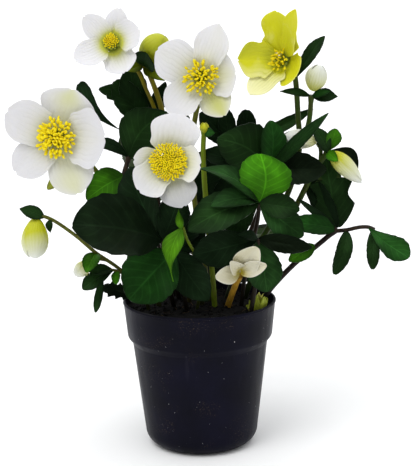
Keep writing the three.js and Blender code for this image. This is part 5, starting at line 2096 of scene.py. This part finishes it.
@dataclass
class PeatBed:
    """The potting soil: a bed of peat with crumbs and fibres on it."""

    pot: NurseryPot
    gap: float = 0.3
    lumps: float = 1.3
    lumps_end: float = 57.5  # radius at which the lumps have died out
    lumps_fade: float = 3.0  # distance over which they do
    shoulder: float = 38.0  # radius at which the surface begins to fall to the wall
    wall_reach: float = 57.9  # radius at which it meets the wall
    bare_rim: float = 3.0  # how far inside the collar's radius crumbs and fibres stay
    ring_step: float = 1.3
    sides: int = 110
    crumbs: int = 420
    crumb_kinds: int = 4
    crumb_sizes: tuple[float, ...] = (0.5, 0.7, 0.9, 1.2, 1.8)
    fibres: int = 46
    fibre_reach: float = 57.0  # radius past which a fibre doesn't follow the soil further down
    seed: int = 5

    def profile(self) -> list[tuple[float, float]]:
        """Lay out the bed.

        Returns:
            Its profile, from its bottom, up the wall and in to the middle.
        """
        pot, inset = self.pot, self.pot.wall + self.gap
        foot = pot.foot_radius - inset
        edge = pot.collar_at(SOIL_EDGE) - inset
        rings = [
            (pot.foot_radius - pot.corner, pot.floor + self.gap),
            (foot - pot.corner * 0.3, pot.floor + self.gap + pot.corner * 0.2),
            (foot, pot.floor + self.gap + pot.corner * 0.8),
            (pot.body_top_radius - inset, pot.body_top + 1),
            (pot.collar_radius - inset, pot.collar_bottom + 1), (edge, SOIL_EDGE),
        ]
        radius = edge - self.ring_step
        while radius > 1.0:
            rings.append((radius, self.level(radius, edge)))
            radius -= self.ring_step
        return rings

    def level(self, radius: float, edge: float) -> float:
        """Tell how high the soil lies, without its lumps.

        Args:
            radius: Distance from the middle.
            edge: Distance at which it meets the wall.

        Returns:
            Its height.
        """
        brow = SOIL_TOP - 1
        if radius > self.shoulder:
            return brow - (brow - SOIL_EDGE) * (radius - self.shoulder) / (edge - self.shoulder)
        return SOIL_TOP - radius / self.shoulder

    def surface(self, x: float, y: float, out: float) -> float:
        """Return the height of the lumpy surface at a place this far from the middle."""
        return self.level(out, self.wall_reach) + self.relief(x, y)

    def relief(self, x: float, y: float) -> float:
        """Tell how lumpy the surface is at a place.

        Args:
            x: The place along X.
            y: The place along Y.

        Returns:
            The lump's height, in millimetres.
        """
        coarse = noise.noise(Vector((x * 0.12, y * 0.12, 1.7)))
        fine = noise.noise(Vector((x * 0.45, y * 0.45, 8.1)))
        return self.lumps * (0.9 * coarse + 0.6 * fine)

    def build(self, peat: Material, fibre: Material) -> None:
        """Build the bed and what lies on it.

        Args:
            peat: The soil's material.
            fibre: The fibres' material.
        """
        piece = turned(self.profile(), self.sides)
        for vertex in piece.data.vertices:
            x, y, z = vertex.co / MM
            inside = self.lumps_end - math.hypot(x, y)
            if z > SOIL_EDGE - 0.1 and inside > 0:
                vertex.co.z = (z + self.relief(x, y) * min(1.0, inside / self.lumps_fade)) * MM
        piece.name = "potting_soil_bed"
        smooth(piece, 70.0)
        dress(piece, peat)
        settle(piece, "soil", "potting_soil")
        draw = random.Random(self.seed)
        for swarm, name, material in (
            (self.scatter_crumbs(draw), "soil_crumbs", peat),
            (self.scatter_fibres(draw), "soil_fibres", fibre),
        ):
            piece = swarm.build(name)
            dress(piece, material)
            settle(piece, "soil")

    def somewhere(self, draw: random.Random) -> tuple[float, float]:
        """Return a random distance and turn inside the bare rim."""
        rim = self.pot.collar_radius - self.bare_rim
        return rim * math.sqrt(draw.random()), draw.uniform(0, math.tau)

    def scatter_crumbs(self, draw: random.Random) -> Swarm:
        """Scatter crumbs over the bed.

        Args:
            draw: Where chance comes from.

        Returns:
            The crumbs.
        """
        shapes = [take_shape(crumb_body(k)) for k in range(self.crumb_kinds)]
        swarm = Swarm()
        for _ in range(self.crumbs):
            out, turn = self.somewhere(draw)
            x, y = out * math.cos(turn), out * math.sin(turn)
            size = draw.choice(self.crumb_sizes) * draw.uniform(0.8, 1.2)
            spin = Matrix.Rotation(draw.uniform(0, math.tau), 4, (draw.random(), draw.random(), 0.3))
            place = Matrix.Translation((x, y, self.surface(x, y, out)))
            swarm.add(draw.choice(shapes),
                      scaled(place @ spin @ Matrix.Diagonal((size, size, size * 0.8, 1))))
        return swarm

    def scatter_fibres(self, draw: random.Random) -> Swarm:
        """Scatter bent fibres over the bed, and leave out those that would touch the pot.

        Args:
            draw: Where chance comes from.

        Returns:
            The fibres.
        """
        rim = self.pot.collar_radius - self.bare_rim
        swarm = Swarm()
        for _ in range(self.fibres):
            out, turn = self.somewhere(draw)
            start = spoke(turn, out)
            way = Vector((draw.uniform(-1, 1), draw.uniform(-1, 1), 0)).normalized()
            length, bend = draw.uniform(3, 9), draw.uniform(-1.5, 1.5)
            aside = Vector((-way.y, way.x, 0))
            line = []
            for k in range(4):
                spot = start + way * (length * (k / 3 - 0.5)) + aside * bend * math.sin(k)
                spot.z = self.surface(spot.x, spot.y, min(spot.xy.length, self.fibre_reach)) + 0.3
                line.append(spot)
            if all(spot.xy.length < rim for spot in line):
                swarm.thread(line, draw.uniform(0.12, 0.28), 0.5, 4)
        return swarm


def crumb_body(kind: int) -> Piece:
    """Shape one of a few knobbly crumbs, about 2 mm across.

    Args:
        kind: Which of them.

    Returns:
        The crumb.
    """
    deselect()
    bpy.ops.mesh.primitive_ico_sphere_add(subdivisions=2, radius=MM)
    piece = bpy.context.object
    for vertex in piece.data.vertices:
        bump = noise.noise(vertex.co / MM * 1.4 + Vector((kind * 7, 0, 0)))
        vertex.co *= 1 + 0.55 * bump
    return piece


# ---- studio ----


@dataclass
class Studio:
    """Camera, floor and soft light."""

    eye: Place = (0.0081, -1.0, 0.377)  # metres
    pitch: float = 0.203  # radians below the horizon
    roll: float = -0.017  # radians
    focal: float = 1292.0  # focal length, in pixels of a render of this height
    render_height: float = 466.0
    sensor: float = 36.0
    floor_size: float = 120.0
    sun_from: Place = (-0.4, -0.55, 1.0)
    sun_width: float = 30.0  # how wide the sun looks, in degrees
    sun_strength: float = 0.95
    tint: Colour = (0.98, 0.99, 1.0, 1.0)  # the room's light
    # An axis, a range along it, and how strong the room's light is at that range's ends.
    falloffs: tuple[tuple[str, tuple[float, float], tuple[float, float]], ...] = (
        ("Z", (-0.05, 1.0), (0.25, 1.85)), ("Y", (-1.0, 0.3), (0.6, 1.0)))

    def build(self) -> None:
        """Set the stage."""
        self.camera()
        self.floor()
        self.world()
        self.sun()

    def camera(self) -> None:
        """Place the camera."""
        data = bpy.data.cameras.new("camera")
        data.sensor_width = self.sensor
        data.lens = self.focal / self.render_height * self.sensor
        camera = stand("camera", data)
        camera.matrix_world = (Matrix.Translation(self.eye)
                               @ Matrix.Rotation(math.pi / 2 - self.pitch, 4, "X")
                               @ Matrix.Rotation(self.roll, 4, "Z"))
        bpy.context.scene.camera = camera

    def floor(self) -> None:
        """Lay the floor."""
        deselect()
        bpy.ops.mesh.primitive_plane_add(size=self.floor_size, location=(0, 0, 0))
        floor = bpy.context.object
        floor.name = "floor"
        dress(floor, StageFinish("pale floor").make())

    def world(self) -> None:
        """Light the room from above, with less light in front of the plant."""
        world = bpy.data.worlds.new("studio")
        bpy.context.scene.world = world
        board = Board(world)
        split = board.add("SeparateXYZ", Vector=board.add("TexCoord").outputs["Generated"])
        falls = [board.ramp(split.outputs[axis], *span, *levels) for axis, span, levels in self.falloffs]
        light = board.tree.nodes["Background"]
        board.put(light.inputs["Strength"], board.sum("MULTIPLY", *falls))
        light.inputs["Color"].default_value = self.tint
        bpy.context.scene.view_settings.view_transform = "Standard"

    def sun(self) -> None:
        """Hang a broad soft sun."""
        data = bpy.data.lights.new("key light", "SUN")
        data.angle = math.radians(self.sun_width)
        data.energy = self.sun_strength
        turn = (-Vector(self.sun_from)).to_track_quat("-Z", "Y")
        stand("key light", data).matrix_world = turn.to_matrix().to_4x4()


def main() -> None:
    """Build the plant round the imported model."""
    logging.basicConfig(level=logging.INFO, format="%(message)s")
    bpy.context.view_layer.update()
    Studio().build()
    wardrobe = Wardrobe()
    pot = NurseryPot()
    pot.build(PotFinish("black polypropylene").make())
    PeatBed(pot).build(
        PeatFinish("peat", 0x020202, 0x080605, 0x5A4C38).make(),
        PeatFinish("fibre", 0x3A2C1E, 0x6B563A, 0x9A8666).make())
    ShootCrown(wardrobe).build()
    for seed, bloom in enumerate(BLOOMS, FLOWER_SEED):
        FlowerBuilder(bloom, wardrobe, seed).build()
    for seed, growth in enumerate(SCAPES, SCAPE_SEED):
        GrowthBuilder(growth, wardrobe, seed).build()
    for seed, growth in enumerate(LEAVES, LEAF_SEED):
        slot = "young_leaf" if growth.green is Green.YOUNG else "leaves"
        GrowthBuilder(growth, wardrobe, seed, slot=slot).build()
    for seed, plan in enumerate(BUDS, BUD_SEED):
        BudBuilder(plan, wardrobe, seed).build()
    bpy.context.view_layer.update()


if __name__ == "__main__":
    main()
